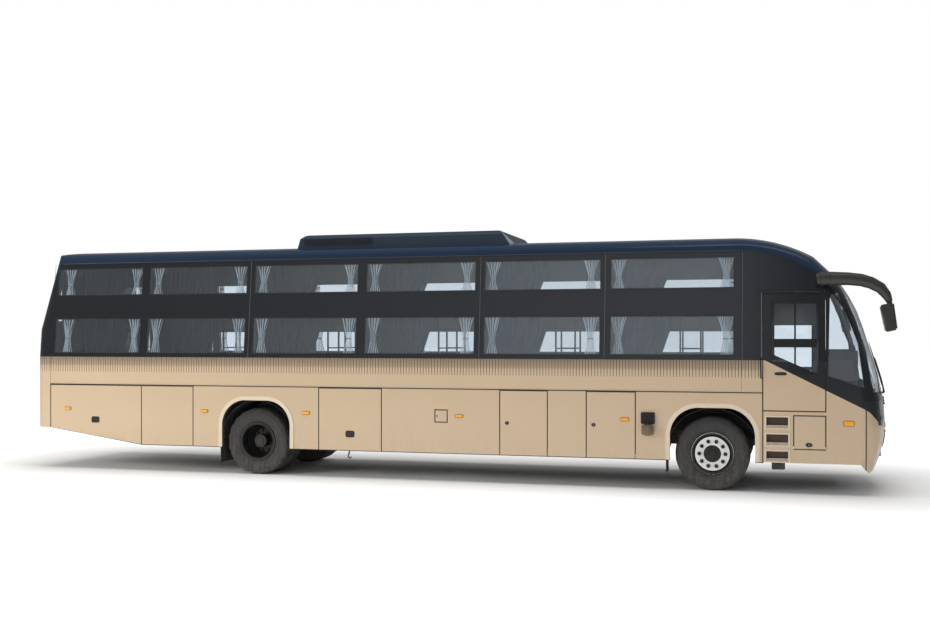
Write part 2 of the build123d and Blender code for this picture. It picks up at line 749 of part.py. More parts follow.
# springs: axle x, height of the seat on the axle, half length, eye height
spring_table = ((front_axle_x, beam_pad_z, 780.0, 735.0),
                (rear_axle_x, wheel_radius + axle_tube_radius, 820.0, 745.0))
spring_width = 72.0
leaf_stack = 60.0
with BuildPart() as leaf_springs:
    for axle_x, seat_z, reach, eye_z in spring_table:
        for side in (1, -1):
            with BuildSketch(Plane.XZ.offset(side * rail_y - spring_width / 2)):
                with BuildLine():
                    lower = ThreePointArc((axle_x - reach, eye_z), (axle_x, seat_z),
                                          (axle_x + reach, eye_z))
                    Line(lower @ 1, (axle_x + reach, eye_z + 22))
                    upper = ThreePointArc((axle_x + reach, eye_z + 22), (axle_x, seat_z + leaf_stack),
                                          (axle_x - reach, eye_z + 22))
                    Line(upper @ 1, (axle_x - reach, eye_z))
                make_face()
            extrude(amount=spring_width)
            for end in (-1, 1):
                with Locations((axle_x + end * (reach - 20), side * rail_y,
                                (eye_z + 5 + rail_top_z - rail_height) / 2)):
                    Box(60, spring_width, rail_top_z - rail_height - eye_z - 5)
export_node(leaf_springs.part, "leaf_springs")

# ------------------------------------------------------------------ steering knuckles
lug_gap = 6.0
lug_height = 38.0
plate_y = kingpin_y + eye_radius + 12
plate_thick = 30.0
spindle_radius = 34.0
spindle_end_y = front_track_y + 70
arm_length = 170.0
arm_width = 40.0
arm_low_z = eye_low_z - lug_gap - lug_height


def knuckle():
    """Right-hand steering knuckle: fork round the axle eye, plate, spindle and tie rod arm."""
    with BuildPart() as part:
        for z in (arm_low_z + lug_height / 2, eye_high_z + lug_gap + lug_height / 2):
            with Locations((front_axle_x, -kingpin_y, z)):
                Cylinder(eye_radius - 5, lug_height)
            with Locations((front_axle_x, -(kingpin_y + plate_y) / 2, z)):
                Box(90, plate_y - kingpin_y, lug_height)
        with Locations((front_axle_x, -kingpin_y, (eye_low_z + eye_high_z) / 2)):
            Cylinder(kingpin_radius - running_gap, eye_high_z - eye_low_z + 2 * lug_gap + 4)
        plate_mid_z = (arm_low_z + eye_high_z + lug_gap + lug_height) / 2
        with Locations((front_axle_x, -plate_y - plate_thick / 2, plate_mid_z)):
            Box(120, plate_thick, eye_high_z + 2 * lug_gap + 2 * lug_height - eye_low_z)
        with Locations(Location((front_axle_x, -(plate_y + spindle_end_y) / 2, wheel_radius), (90, 0, 0))):
            Cylinder(spindle_radius, spindle_end_y - plate_y)
        with Locations((front_axle_x - arm_length / 2, -kingpin_y, arm_low_z + lug_height / 2)):
            Box(arm_length, arm_width, lug_height)
        with Locations((front_axle_x - arm_length, -kingpin_y, arm_low_z + lug_height / 2)):
            Cylinder(28, lug_height)
    return part.part


export_node(knuckle(), "knuckle_right")
export_node(mirrored(knuckle()), "knuckle_left")

tie_rod_radius = 18.0
tie_boss_height = 42.0
tie_rod_z = arm_low_z - 0.4 - tie_boss_height / 2
with BuildPart() as tie_rod:
    with Locations(Location((front_axle_x - arm_length, 0, tie_rod_z), (90, 0, 0))):
        Cylinder(tie_rod_radius, 2 * kingpin_y)
    for side in (1, -1):
        with Locations((front_axle_x - arm_length, side * kingpin_y, tie_rod_z)):
            Cylinder(26, tie_boss_height)
export_node(tie_rod.part, "tie_rod")


# ------------------------------------------------------------------ wheels
rim_radius = 286.0
rim_bore = 262.0
rim_flange = 300.0
rim_half = 115.0
tread_half = 112.0
shoulder_drop = 40.0
flange_wall = 14.0
disc_wall = 14.0
disc_flat = 200.0
hub_radius = 100.0


def tyre(axle_x, y):
    half = tyre_width / 2
    bead_z = wheel_radius + rim_flange + soft_gap
    tread_z = 2 * wheel_radius
    with BuildPart() as part:
        with BuildSketch(Plane.YZ.offset(axle_x)):
            Polygon((y - half, bead_z), (y - half, tread_z - shoulder_drop), (y - tread_half, tread_z),
                    (y + tread_half, tread_z), (y + half, tread_z - shoulder_drop), (y + half, bead_z),
                    align=None)
        revolve(axis=Axis((axle_x, 0, wheel_radius), (0, 1, 0)))
    return part.part


def rim(axle_x, y, face_y):
    """Steel rim with a dished disc that ends at its mounting face."""
    outward = 1 if face_y > y else -1
    root_y = y + 0.35 * (face_y - y)
    back = -outward * disc_wall
    with BuildPart() as part:
        with BuildSketch(Plane.YZ.offset(axle_x)):
            for flange_y in (y - rim_half - flange_wall / 2, y + rim_half + flange_wall / 2):
                with Locations((flange_y, wheel_radius + (rim_bore + rim_flange) / 2)):
                    Rectangle(flange_wall, rim_flange - rim_bore)
            with Locations((y, wheel_radius + (rim_bore + rim_radius) / 2)):
                Rectangle(2 * rim_half, rim_radius - rim_bore)
            Polygon((root_y, wheel_radius + rim_bore + 8), (face_y, wheel_radius + disc_flat),
                    (face_y, wheel_radius + hub_radius - 10),
                    (face_y + back, wheel_radius + hub_radius - 10),
                    (face_y + back, wheel_radius + disc_flat - 8),
                    (root_y + back, wheel_radius + rim_bore + 8), align=None)
        revolve(axis=Axis((axle_x, 0, wheel_radius), (0, 1, 0)))
    return part.part


def hub(axle_x, inner_y, outer_y, spindle_y, bore_radius):
    """Wheel hub, open on its inner side for the spindle and closed on its outer side."""
    with BuildPart() as part:
        with BuildSketch(Plane.YZ.offset(axle_x)):
            Polygon((inner_y, wheel_radius + bore_radius), (inner_y, wheel_radius + hub_radius),
                    (outer_y, wheel_radius + hub_radius), (outer_y, wheel_radius),
                    (spindle_y, wheel_radius), (spindle_y, wheel_radius + bore_radius), align=None)
        revolve(axis=Axis((axle_x, 0, wheel_radius), (0, 1, 0)))
    return part.part


front_face_y = front_track_y + 130
with BuildPart() as front_rim:
    add(rim(front_axle_x, -front_track_y, -front_face_y))
    add(hub(front_axle_x, -plate_y - plate_thick - 12, -front_face_y - 20, -spindle_end_y - 2,
            spindle_radius + running_gap))
front_tyre = tyre(front_axle_x, -front_track_y)
export_node(front_rim.part, "front_rim_right")
export_node(front_tyre, "front_tyre_right")
export_node(mirrored(front_rim.part), "front_rim_left")
export_node(mirrored(front_tyre), "front_tyre_left")

twin_face_y = rear_outer_y - twin_spacing / 2
with BuildPart() as rear_rims:
    add(rim(rear_axle_x, -rear_outer_y, -twin_face_y))
    add(rim(rear_axle_x, -rear_outer_y + twin_spacing, -twin_face_y))
    add(hub(rear_axle_x, -axle_tube_y - 12, -twin_face_y - 190, -rear_spindle_y - 2,
            rear_spindle_radius + running_gap))
export_node(rear_rims.part, "rear_rims_right")
export_node(mirrored(rear_rims.part), "rear_rims_left")
with BuildPart() as rear_tyres:
    add(tyre(rear_axle_x, -rear_outer_y))
    add(tyre(rear_axle_x, -rear_outer_y + twin_spacing))
export_node(rear_tyres.part, "rear_tyres_right")
export_node(mirrored(rear_tyres.part), "rear_tyres_left")


# ------------------------------------------------------------------ wheel housings and flaps
liner_radius = 640.0
liner_wall = 6.0
liner_inner_y = 500.0
mudflap_wall = 8.0
with BuildPart() as arch_liners:
    for axle_x in (rear_axle_x, front_axle_x):
        with BuildSketch(Plane.XZ.offset(liner_inner_y)):
            with Locations((axle_x, wheel_radius)):
                Circle(liner_radius + liner_wall)
                Circle(liner_radius, mode=Mode.SUBTRACT)
            with Locations((axle_x, 0)):
                Rectangle(3 * liner_radius, 2 * (wheel_radius + 40), mode=Mode.SUBTRACT)
        extrude(amount=half_width - wall - liner_inner_y)
    mirror(about=Plane.XZ)

# mud flaps: distance behind the axle, lower edge, upper edge, inner edge
mudflap_table = ((front_axle_x - liner_radius, 230.0, wheel_radius + 38, 880.0),
                 (rear_axle_x - liner_radius, 170.0, wheel_radius + 38, 600.0))
with BuildPart() as mudflaps:
    for front_face_x, low_z, high_z, inner_y in mudflap_table:
        mid_y = (inner_y + half_width - wall) / 2
        with Locations((front_face_x - mudflap_wall / 2, -mid_y, (low_z + high_z) / 2)):
            Box(mudflap_wall, half_width - wall - inner_y, high_z - low_z)
    mirror(about=Plane.XZ)
    add(arch_liners.part)
export_node(mudflaps.part, "wheel_housings")


# ------------------------------------------------------------------ tanks and under-floor boxes
tank_x0 = -420.0
tank_x1 = 980.0
tank_mid_y = -840.0
tank_width = 620.0
tank_low_z = 500.0
tank_high_z = 1120.0
with BuildPart() as fuel_tank:
    with BuildSketch(Plane.YZ.offset(tank_x0)):
        with Locations((tank_mid_y, (tank_low_z + tank_high_z) / 2)):
            RectangleRounded(tank_width, tank_high_z - tank_low_z, 80)
    extrude(amount=tank_x1 - tank_x0)
    with Locations(Location((350, -half_width + wall + 55, 985), (90, 0, 0))):
        Cylinder(45, 130)
    for x in (tank_x0 + 200, tank_x1 - 200):
        bracket_reach = -tank_mid_y - tank_width / 2 - rail_outer_y
        with Locations((x, -rail_outer_y - bracket_reach / 2, 900)):
            Box(60, bracket_reach, 120)

with BuildPart() as air_tanks:
    for x in (2500, 3200):
        with Locations(Location((x, 640, 800), (0, 90, 0))):
            Cylinder(120, 600)
        with Locations((x, rail_outer_y + 75, 860)):
            Box(60, 150, 60)
with BuildPart() as tanks:
    add(fuel_tank.part)
    add(air_tanks.part)
export_node(tanks.part, "tanks")

with BuildPart() as exhaust:
    with Locations(Location((1000, 700, 760), (0, 90, 0))):
        Cylinder(140, 1100)
        Cylinder(45, 2200)
    with Locations((1000, rail_outer_y + 100, 860)):
        Box(80, 200, 50)
export_node(exhaust.part, "exhaust")

tray_wall = 15.0
tray_floor_z = 490.0
tray_top_z = sill_z - bearer_height
tray_inner_y = 500.0
# luggage bins behind the lids: rear end, front end, lower edge, sides
bin_table = ((tail_panel_x + 40, bumper_knee_x - 40, 690.0, (1, -1)),
             (-1640.0, -620.0, tray_floor_z, (1, -1)),
             (1180.0, 2060.0, tray_floor_z, (-1,)),
             (2480.0, 3340.0, tray_floor_z, (-1,)))
with BuildPart() as luggage_bins:
    for x0, x1, low_z, sides in bin_table:
        for side in sides:
            mid_y = side * (tray_inner_y + half_width - wall) / 2
            depth = half_width - wall - tray_inner_y
            with Locations(((x0 + x1) / 2, mid_y, (low_z + tray_top_z) / 2)):
                Box(x1 - x0, depth, tray_top_z - low_z)
            with Locations(((x0 + x1) / 2, mid_y + side * tray_wall, (low_z + tray_top_z) / 2)):
                Box(x1 - x0 - 2 * tray_wall, depth, tray_top_z - low_z - 2 * tray_wall, mode=Mode.SUBTRACT)
export_node(luggage_bins.part, "luggage_bins")


# ------------------------------------------------------------------ saloon
partition_wall = 30.0
doorway_half = 330.0
doorway_top_z = 3200.0
with BuildPart() as cab_partition:
    with BuildSketch(Plane.YZ.offset(cap_x - 60)):
        Polygon((-1190, floor_z), (1190, floor_z), (1190, belt_z), (1050, 3330), (840, 3480),
                (-840, 3480), (-1050, 3330), (-1190, belt_z), align=None)
        with Locations((0, (floor_z + doorway_top_z) / 2)):
            Rectangle(2 * doorway_half, doorway_top_z - floor_z, mode=Mode.SUBTRACT)
        for side in (1, -1):
            with Locations((side * 740, 2620)):
                Rectangle(560, 900, mode=Mode.SUBTRACT)
    extrude(amount=partition_wall)
export_node(cab_partition.part, "cab_partition")

berth_rear_x = window_bays[-1][0] - tail_window_width - 15
berth_front_x = cap_x - 75
deck_thickness = 40.0
panel_thickness = 30.0
lower_deck_z = 1720.0
upper_deck_z = 2660.0
mattress_thickness = 90.0
berth_outer_y = 1130.0
# berth rows: side, aisle edge
berth_rows = ((-1, 430.0), (1, 50.0))
division_xs = [window_front_x - index * window_pitch + (window_pitch - window_width) / 2
               for index in range(1, window_count)]
# the upright boards between the berths, and the bays between them
board_xs = [berth_rear_x, *reversed(division_xs), berth_front_x]
board_top_z = 3230.0
board_outer_y = 1035.0
berth_bays = [(x0 + panel_thickness / 2, x1 - panel_thickness / 2)
              for x0, x1 in zip(board_xs[:-1], board_xs[1:])]
with BuildPart() as berths:
    for side, aisle_y in berth_rows:
        for x in board_xs:
            with Locations((x, side * (aisle_y + board_outer_y) / 2, (floor_z + board_top_z) / 2)):
                Box(panel_thickness, board_outer_y - aisle_y, board_top_z - floor_z)
        for deck_z in (lower_deck_z, upper_deck_z):
            for x0, x1 in berth_bays:
                with Locations(((x0 + x1) / 2, side * (aisle_y + berth_outer_y) / 2,
                                deck_z - deck_thickness / 2)):
                    Box(x1 - x0 - 2 * seat_gap, berth_outer_y - aisle_y, deck_thickness)
export_node(berths.part, "berths")

with BuildPart() as mattresses:
    for side, aisle_y in berth_rows:
        for deck_z in (lower_deck_z, upper_deck_z):
            for x0, x1 in berth_bays:
                with Locations(((x0 + x1) / 2, side * (aisle_y + berth_outer_y) / 2,
                                deck_z + soft_gap + mattress_thickness / 2)):
                    Box(x1 - x0 - 40, berth_outer_y - aisle_y - 80, mattress_thickness)
export_node(mattresses.part, "mattresses")

ladder_rail = 24.0
ladder_width = 300.0
ladder_height = upper_deck_z - floor_z
ladder_xs = [berth_rear_x + (index + 0.5) * window_pitch for index in range(window_count)]
with BuildPart() as ladders:
    for side, aisle_y in berth_rows:
        rail_line_y = side * (aisle_y - ladder_rail / 2 - soft_gap)
        for x in ladder_xs:
            for end in (-1, 1):
                with Locations((x + end * ladder_width / 2, rail_line_y, floor_z + ladder_height / 2)):
                    Box(ladder_rail, ladder_rail, ladder_height)
            for rung_z in (1700, 2000, 2300, 2600):
                with Locations((x, rail_line_y, rung_z)):
                    Box(ladder_width - ladder_rail, ladder_rail - 4, ladder_rail - 4)
export_node(ladders.part, "ladders")

curtain_depth = 36.0
curtain_gap = 0.5
curtain_lap = 15.0
curtain_top = 230.0
curtain_waist = 90.0
curtain_rear_x = -6340.0      # behind this the tail corner rounds inwards


def curtain_outline(edge_x, direction, base_z, height):
    """A gathered curtain tied at its middle, hanging at one edge of a window."""
    far_top = edge_x + direction * curtain_top
    far_waist = edge_x + direction * curtain_waist
    waist_z = base_z + 0.42 * height
    return [(edge_x, base_z), (edge_x, base_z + height), (far_top, base_z + height),
            (far_waist, waist_z), (far_top - direction * 50, base_z)]


def curtain(edge_x, direction, base_z, height):
    """Curtain behind a right-hand window, leaning in with the window band."""
    middle_z = base_z + height / 2
    hang = Plane(origin=(0, -(side_y(middle_z) - wall - curtain_gap), middle_z), x_dir=(1, 0, 0),
                 z_dir=Vector(0, -1, side_lean))
    with BuildPart() as part:
        with BuildSketch(hang):
            Polygon(*[(x, z - middle_z) for x, z in curtain_outline(edge_x, direction, base_z, height)],
                    align=None)
        extrude(amount=-curtain_depth)
    return part.part


with BuildPart() as curtains:
    for bay_front, width in window_bays:
        for base_z, height in window_rows:
            hem_z = base_z - curtain_lap
            drop = height + 2 * curtain_lap
            add(curtain(bay_front + curtain_lap, -1, hem_z, drop))
            add(curtain(max(bay_front - width - curtain_lap, curtain_rear_x), 1, hem_z, drop))
    mirror(about=Plane.XZ)
export_node(curtains.part, "curtains")


# ------------------------------------------------------------------ cab
seat_x = 5230.0
seat_y = -690.0
with BuildPart() as driver_seat:
    with Locations((seat_x, seat_y, cab_floor_z + 150)):
        Box(360, 340, 300)
    with Locations((seat_x + 20, seat_y, cab_floor_z + 350)):
        Box(500, 480, 100)
    with Locations(Location((seat_x - 250, seat_y, cab_floor_z + 720), (0, -8, 0))):
        Box(110, 470, 760)
export_node(driver_seat.part, "driver_seat")

with BuildPart() as dashboard:
    with BuildSketch(Plane.XZ.offset(-900)):
        with BuildLine():
            Polyline((6140, cab_floor_z), (6080, 1560), (6160, 1640), (6420, 1560), (6440, 1400),
                     (6200, cab_floor_z), (6140, cab_floor_z))
        make_face()
    extrude(amount=1800)

wheel_ring_radius = 220.0
column_plane = Plane(origin=(5880, seat_y, 1780), z_dir=(-0.55, 0, 1))
with BuildPart() as cab_controls:
    add(dashboard.part)
    with BuildSketch(Plane(origin=column_plane.origin, x_dir=column_plane.x_dir,
                           z_dir=column_plane.y_dir)) as ring_section:
        with Locations((wheel_ring_radius, 0)):
            RegularPolygon(16, 6)
    revolve(axis=Axis(column_plane.origin, column_plane.z_dir))
    with BuildSketch(column_plane):
        Rectangle(2 * wheel_ring_radius, 40)
        Rectangle(40, 2 * wheel_ring_radius)
        Circle(60)
    extrude(amount=12, both=True)
    with BuildSketch(column_plane):
        Circle(28)
    extrude(amount=-450)
export_node(cab_controls.part, "dashboard")


# ------------------------------------------------------------------ outside fittings
mirror_reach = 150.0
mirror_head_width = 230.0
horn_half = 55.0
left_mirror_set_back = 410.0  # the left-hand mirror hangs this much nearer to the door


def mirror_arm(set_back):
    """Right-hand mirror: base across the cornice, horn along the side, and head."""
    outer_y = half_width + mirror_reach
    with BuildPart() as arm:
        with BuildSketch(Plane.XZ.offset(outer_y - 2 * horn_half)):
            with BuildLine():
                upper = Polyline((5733, 3020), (5915, 3045), (6300, 3024))
                bend = ThreePointArc(upper @ 1, (6540, 2920), (6690, 2670))
                Line(bend @ 1, (6612, 2660))
                inner = ThreePointArc((6612, 2660), (6500, 2820), (6250, 2910))
                Polyline(inner @ 1, (5760, 2930), (5733, 3020))
            make_face()
        extrude(amount=2 * horn_half)
        with BuildSketch(Plane.XZ.offset(outer_y - mirror_head_width)):
            Polygon((6560, 2600), (6580, 2660), (6740, 2640), (6780, 2270), (6645, 2235), align=None)
        extrude(amount=mirror_head_width)
        with Locations((6645, -(outer_y - horn_half), 2640)):
            Box(70, 2 * horn_half, 80)
    placed = Pos(-set_back, 0, 0) * arm.part
    with BuildPart() as bracket:
        add(placed)
        with Locations((5825 - set_back, -(outer_y + 1105) / 2, 2975)):
            Box(150, outer_y - 1105 - 40, 80)
        add(outer_form, mode=Mode.SUBTRACT)
    return bracket.part


with BuildPart() as mirrors:
    add(mirror_arm(0))
    add(mirrored(mirror_arm(left_mirror_set_back)))
export_node(mirrors.part, "mirrors")

intake_x0 = 3345.0
intake_x1 = 3544.0
canister_radius = 62.0
with BuildPart() as air_intake:
    with Locations(((intake_x0 + intake_x1) / 2, -half_width - 22, 1015)):
        Box(intake_x1 - intake_x0, 44, 170)
    with Locations(((intake_x0 + intake_x1) / 2, -half_width - 44 - canister_radius / 2, 850)):
        Cylinder(canister_radius, 160)
    with Locations(((intake_x0 + intake_x1) / 2, -half_width - 22, 915)):
        Box(120, 44, 40)
export_node(air_intake.part, "air_intake")

ac_rear_x = -2190.0
ac_front_x = 1375.0
ac_top_z = 3800.0
ac_half = 900.0
with BuildPart() as ac_unit:
    with BuildSketch(Plane.XZ.offset(-ac_half)):
        Polygon((ac_rear_x, 3500), (ac_rear_x + 75, ac_top_z - 60), (ac_rear_x + 140, ac_top_z - 12),
                (ac_rear_x + 200, ac_top_z), (ac_front_x - 225, ac_top_z),
                (ac_front_x - 200, ac_top_z - 15), (ac_front_x, 3500), align=None)
    extrude(amount=2 * ac_half)
    chamfer(ac_unit.edges().filter_by(Axis.X).group_by(Axis.Z)[-1], length=60)
    add(outer_form, mode=Mode.SUBTRACT)
export_node(ac_unit.part, "ac_unit")

wiper_foot_z = 1450.0
wiper_reach = 620.0
with BuildPart() as wipers:
    for y in (-620, 320):
        foot_x = front_x - nose_sag(y) - nose_setback(wiper_foot_z)
        with Locations((foot_x + 15, y, wiper_foot_z - 60)):
            Box(90, 50, 50)
        slope = degrees(atan2(nose_setback(wiper_foot_z + wiper_reach) - nose_setback(wiper_foot_z),
                              wiper_reach))
        middle_x = front_x - nose_sag(y) - nose_setback(wiper_foot_z + wiper_reach / 2)
        with Locations(Location((middle_x + 34, y, wiper_foot_z + wiper_reach / 2 - 40), (0, -slope, 0))):
            Box(16, 22, wiper_reach + 60)
    add(outer_form, mode=Mode.SUBTRACT)
export_node(wipers.part, "wipers")
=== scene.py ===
# Looks of the sleeper coach: finishes, curtains, bedding, wheels' rubber, louvres and small fittings.
# Metres. X forward, Y to the coach's left, Z up; the origin is on the ground under its middle.
from math import cos, hypot, pi, radians, sin, sqrt
from random import Random

import bmesh
import bpy
from mathutils import Matrix, Vector


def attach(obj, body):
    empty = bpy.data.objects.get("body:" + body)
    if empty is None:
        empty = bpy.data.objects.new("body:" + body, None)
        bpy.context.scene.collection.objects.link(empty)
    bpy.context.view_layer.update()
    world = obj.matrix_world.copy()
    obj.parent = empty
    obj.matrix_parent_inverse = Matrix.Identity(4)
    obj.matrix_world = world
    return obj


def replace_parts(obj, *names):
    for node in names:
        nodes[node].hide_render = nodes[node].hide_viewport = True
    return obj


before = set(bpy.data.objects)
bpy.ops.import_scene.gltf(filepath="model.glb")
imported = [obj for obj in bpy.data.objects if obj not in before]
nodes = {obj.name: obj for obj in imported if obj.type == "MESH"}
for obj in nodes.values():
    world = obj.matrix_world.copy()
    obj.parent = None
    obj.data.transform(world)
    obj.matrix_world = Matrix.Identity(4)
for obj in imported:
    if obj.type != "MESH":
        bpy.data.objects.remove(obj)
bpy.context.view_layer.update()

# ------------------------------------------------------------------ sizes shared with the construction
HALF_WIDTH = 1.275            # of the body, up to the belt line
BELT_Z = 1.850                # the sides lean in above it
RUB_Z = 1.395                 # the rub moulding, above the flaps and bay doors
GUTTER_Z = 3.400
SKIRT_Z = 0.430               # lower edge of the sides
SIDE_LEAN = 0.097             # inwards, for each metre up
WALL = 0.060                  # thickness of the sides
FRONT_X, REAR_X = 6.720, -6.780
CAP_X = 4.740                 # where the front cap meets the sides
DOOR_TOP_Z = 2.790
FRONT_AXLE_X, REAR_AXLE_X = 4.340, -2.710
WHEEL_RADIUS = 0.522
FRONT_TRACK_Y, REAR_OUTER_Y, TWIN_SPACING = 1.060, 1.080, 0.325
WINDOW_COUNT = 6
WINDOW_FRONT_X, WINDOW_PITCH = 4.640, 1.889
WINDOW_WIDTH, TAIL_WINDOW_WIDTH = 1.750, 1.592
WINDOW_ROWS = ((1.918, 0.559), (2.870, 0.440))      # lower edge, height
ROOF_BREAK_X, ROOF_AXIS_Z = 4.600, 1.345            # the roof falls on an arc ahead of this x
NOSE_FULL_Z, SCREEN_FOOT_Z, BROW_Z = 0.95, 1.65, 2.35      # where the nose's profile changes its curve
SCREEN_RAKE = 0.30
NOSE_PLAN_RADIUS = 5.0
RIGHT, LEFT = -1, 1
SIDE_NAMES = {RIGHT: "right", LEFT: "left"}
WINDOW_BAYS = [(WINDOW_FRONT_X - index * WINDOW_PITCH,
                TAIL_WINDOW_WIDTH if index == WINDOW_COUNT - 1 else WINDOW_WIDTH)
               for index in range(WINDOW_COUNT)]


def side_y(z):
    """Half the coach's width at one height."""
    return HALF_WIDTH - max(0.0, z - BELT_Z) * SIDE_LEAN


def nose_setback(z):
    """How far the nose lies behind its foremost point at one height."""
    if z < NOSE_FULL_Z:
        return (NOSE_FULL_Z - z) ** 2 / 2.8
    if z < SCREEN_FOOT_Z:
        return (z - NOSE_FULL_Z) ** 2 / 4.9
    return 0.1 + SCREEN_RAKE * (z - SCREEN_FOOT_Z) + max(0.0, z - BROW_Z) ** 2 / 2.91


def nose_sag(y):
    """How far the nose falls back from its middle, in plan."""
    return NOSE_PLAN_RADIUS - sqrt(NOSE_PLAN_RADIUS ** 2 - y * y)


def nose_x(y, z):
    """The nose's surface."""
    return FRONT_X - nose_setback(z) - nose_sag(y)


# ------------------------------------------------------------------ camera, light and floor
scene = bpy.context.scene
scene.view_settings.view_transform = "Standard"

camera_data = bpy.data.cameras.new("camera")
camera_data.sensor_width = 36.0
camera_data.lens = 43.19
camera_data.shift_y = 0.0301
camera_data.clip_end = 400.0
camera = bpy.data.objects.new("camera", camera_data)
camera.location = (5.2617, -17.344, 2.160)
camera.rotation_euler = (pi / 2, 0, radians(15.766))
scene.collection.objects.link(camera)
scene.camera = camera


def lamp(name, place, aim, size, power, colour=(1, 1, 1), mirrored=False):
    """An area lamp; it shows in reflections and through glass only if mirrored."""
    data = bpy.data.lights.new(name, "AREA")
    data.shape = "RECTANGLE"
    data.size, data.size_y = size
    data.energy = power
    data.color = colour
    made = bpy.data.objects.new(name, data)
    made.visible_glossy = made.visible_transmission = mirrored
    made.location = place
    made.rotation_euler = (Vector(aim) - Vector(place)).to_track_quat("-Z", "Y").to_euler()
    scene.collection.objects.link(made)


lamp("overhead", (0, -1, 12), (0, 0, 0), (20, 7), 1500)
lamp("roof_strip", (6, -4, 12), (4, 0, 3), (9, 1.6), 45, mirrored=True)
lamp("side_key", (-15, -13, 6.5), (-7, 0, 1.3), (8, 6), 1750, (1.0, 0.965, 0.885))
lamp("side_fill", (1.5, -17, 5), (1, 0, 1.6), (9, 5), 330, (0.97, 0.98, 1.0))
lamp("far_fill", (2, 16, 8), (0, 0, 0.6), (14, 6), 500)


# ------------------------------------------------------------------ node helpers
def feed(tree, socket, value):
    """Links a socket, or sets a value, to an input."""
    if isinstance(value, bpy.types.NodeSocket):
        tree.links.new(value, socket)
    elif value is not None:
        socket.default_value = (*value, 1.0) if socket.type == "RGBA" and len(value) == 3 else value


def add(tree, kind, inputs=None, **settings):
    """One node with its settings, and its inputs by name as values or sockets."""
    node = tree.nodes.new(kind)
    for key, value in settings.items():
        setattr(node, key, value)
    for key, value in (inputs or {}).items():
        feed(tree, node.inputs[key], value)
    return node


def calc(tree, operation, *values):
    """One step of arithmetic on values or sockets."""
    node = tree.nodes.new("ShaderNodeMath")
    node.operation = operation
    for socket, value in zip(node.inputs, values):
        feed(tree, socket, value)
    return node.outputs[0]


def ramp(tree, value, low, high, to_low=0.0, to_high=1.0):
    """A value taken from the range low..high to the range to_low..to_high, clamped."""
    node = add(tree, "ShaderNodeMapRange", {"Value": value, "From Min": low, "From Max": high,
                                            "To Min": to_low, "To Max": to_high})
    return node.outputs["Result"]


def mix(tree, factor, a, b, blend="MIX"):
    """Colour a for a factor of 0, colour b for 1."""
    node = tree.nodes.new("ShaderNodeMix")
    node.data_type = "RGBA"
    node.blend_type = blend
    feed(tree, node.inputs[0], factor)
    feed(tree, node.inputs[6], a)
    feed(tree, node.inputs[7], b)
    return node.outputs[2]


def noise(tree, vector, scale, detail=3.0, roughness=0.5):
    """Cloudy noise, from 0 to 1."""
    node = add(tree, "ShaderNodeTexNoise", {"Vector": vector, "Scale": scale, "Detail": detail,
                                            "Roughness": roughness})
    return node.outputs["Fac"]


def bump(tree, height, distance):
    """A surface normal from heights, in units of the distance."""
    return add(tree, "ShaderNodeBump", {"Height": height, "Distance": distance}).outputs["Normal"]


def stretched(tree, vector, factors):
    """Coordinates scaled by a factor on each axis."""
    return add(tree, "ShaderNodeMapping", {"Vector": vector, "Scale": factors}).outputs["Vector"]


def split(tree, vector):
    """The X, Y and Z of a vector."""
    return add(tree, "ShaderNodeSeparateXYZ", {"Vector": vector}).outputs


def grey(tree, value):
    """A colour of that shade of grey."""
    return add(tree, "ShaderNodeCombineColor", {"Red": value, "Green": value, "Blue": value}).outputs[0]


def mix_shaders(tree, factor, first, second):
    """The first shader for a factor of 0, the second for 1."""
    return add(tree, "ShaderNodeMixShader", {0: factor, 1: first, 2: second}).outputs[0]


def effect(name, inputs, outputs):
    """A shader node group with named inputs (name, kind, value) and outputs (name, kind)."""
    group = bpy.data.node_groups.new(name, "ShaderNodeTree")
    kinds = {"value": "NodeSocketFloat", "colour": "NodeSocketColor", "vector": "NodeSocketVector"}
    for label, kind, value in inputs:
        socket = group.interface.new_socket(label, in_out="INPUT", socket_type=kinds[kind])
        if value is not None:
            socket.default_value = (*value, 1.0) if kind == "colour" else value
    for label, kind in outputs:
        group.interface.new_socket(label, in_out="OUTPUT", socket_type=kinds[kind])
    entry = group.nodes.new("NodeGroupInput")
    leave = group.nodes.new("NodeGroupOutput")
    return group, entry.outputs, leave.inputs


def use(tree, group, **inputs):
    """A group's outputs in another tree, with its inputs by name."""
    node = tree.nodes.new("ShaderNodeGroup")
    node.node_tree = group
    for key, value in inputs.items():
        feed(tree, node.inputs[key.replace("_", " ").capitalize()], value)
    return node.outputs


# ------------------------------------------------------------------ shared effects
# Long ripples and the fine peel of sprayed paint, with a slight change of shade.
paint_skin, given, out = effect("paint_skin", [("Vector", "vector", None), ("Colour", "colour", (1, 1, 1)),
                                               ("Shade", "value", 0.04), ("Peel", "value", 0.0002)],
                                [("Colour", "colour"), ("Normal", "vector")])
t = paint_skin
ripple = noise(t, given["Vector"], 1.3, 2.0)
peel = noise(t, given["Vector"], 160.0, 2.0)
flake = noise(t, given["Vector"], 900.0, 1.0)
lighter = calc(t, "MULTIPLY_ADD", calc(t, "SUBTRACT", ripple, 0.5), given["Shade"], 1.0)
lighter = calc(t, "MULTIPLY_ADD", calc(t, "SUBTRACT", flake, 0.5), given["Shade"], lighter)
feed(t, out["Colour"], mix(t, 1.0, given["Colour"], grey(t, lighter), "MULTIPLY"))
surface = calc(t, "ADD", calc(t, "MULTIPLY", ripple, 6.0), peel)
feed(t, out["Normal"], bump(t, surface, given["Peel"]))

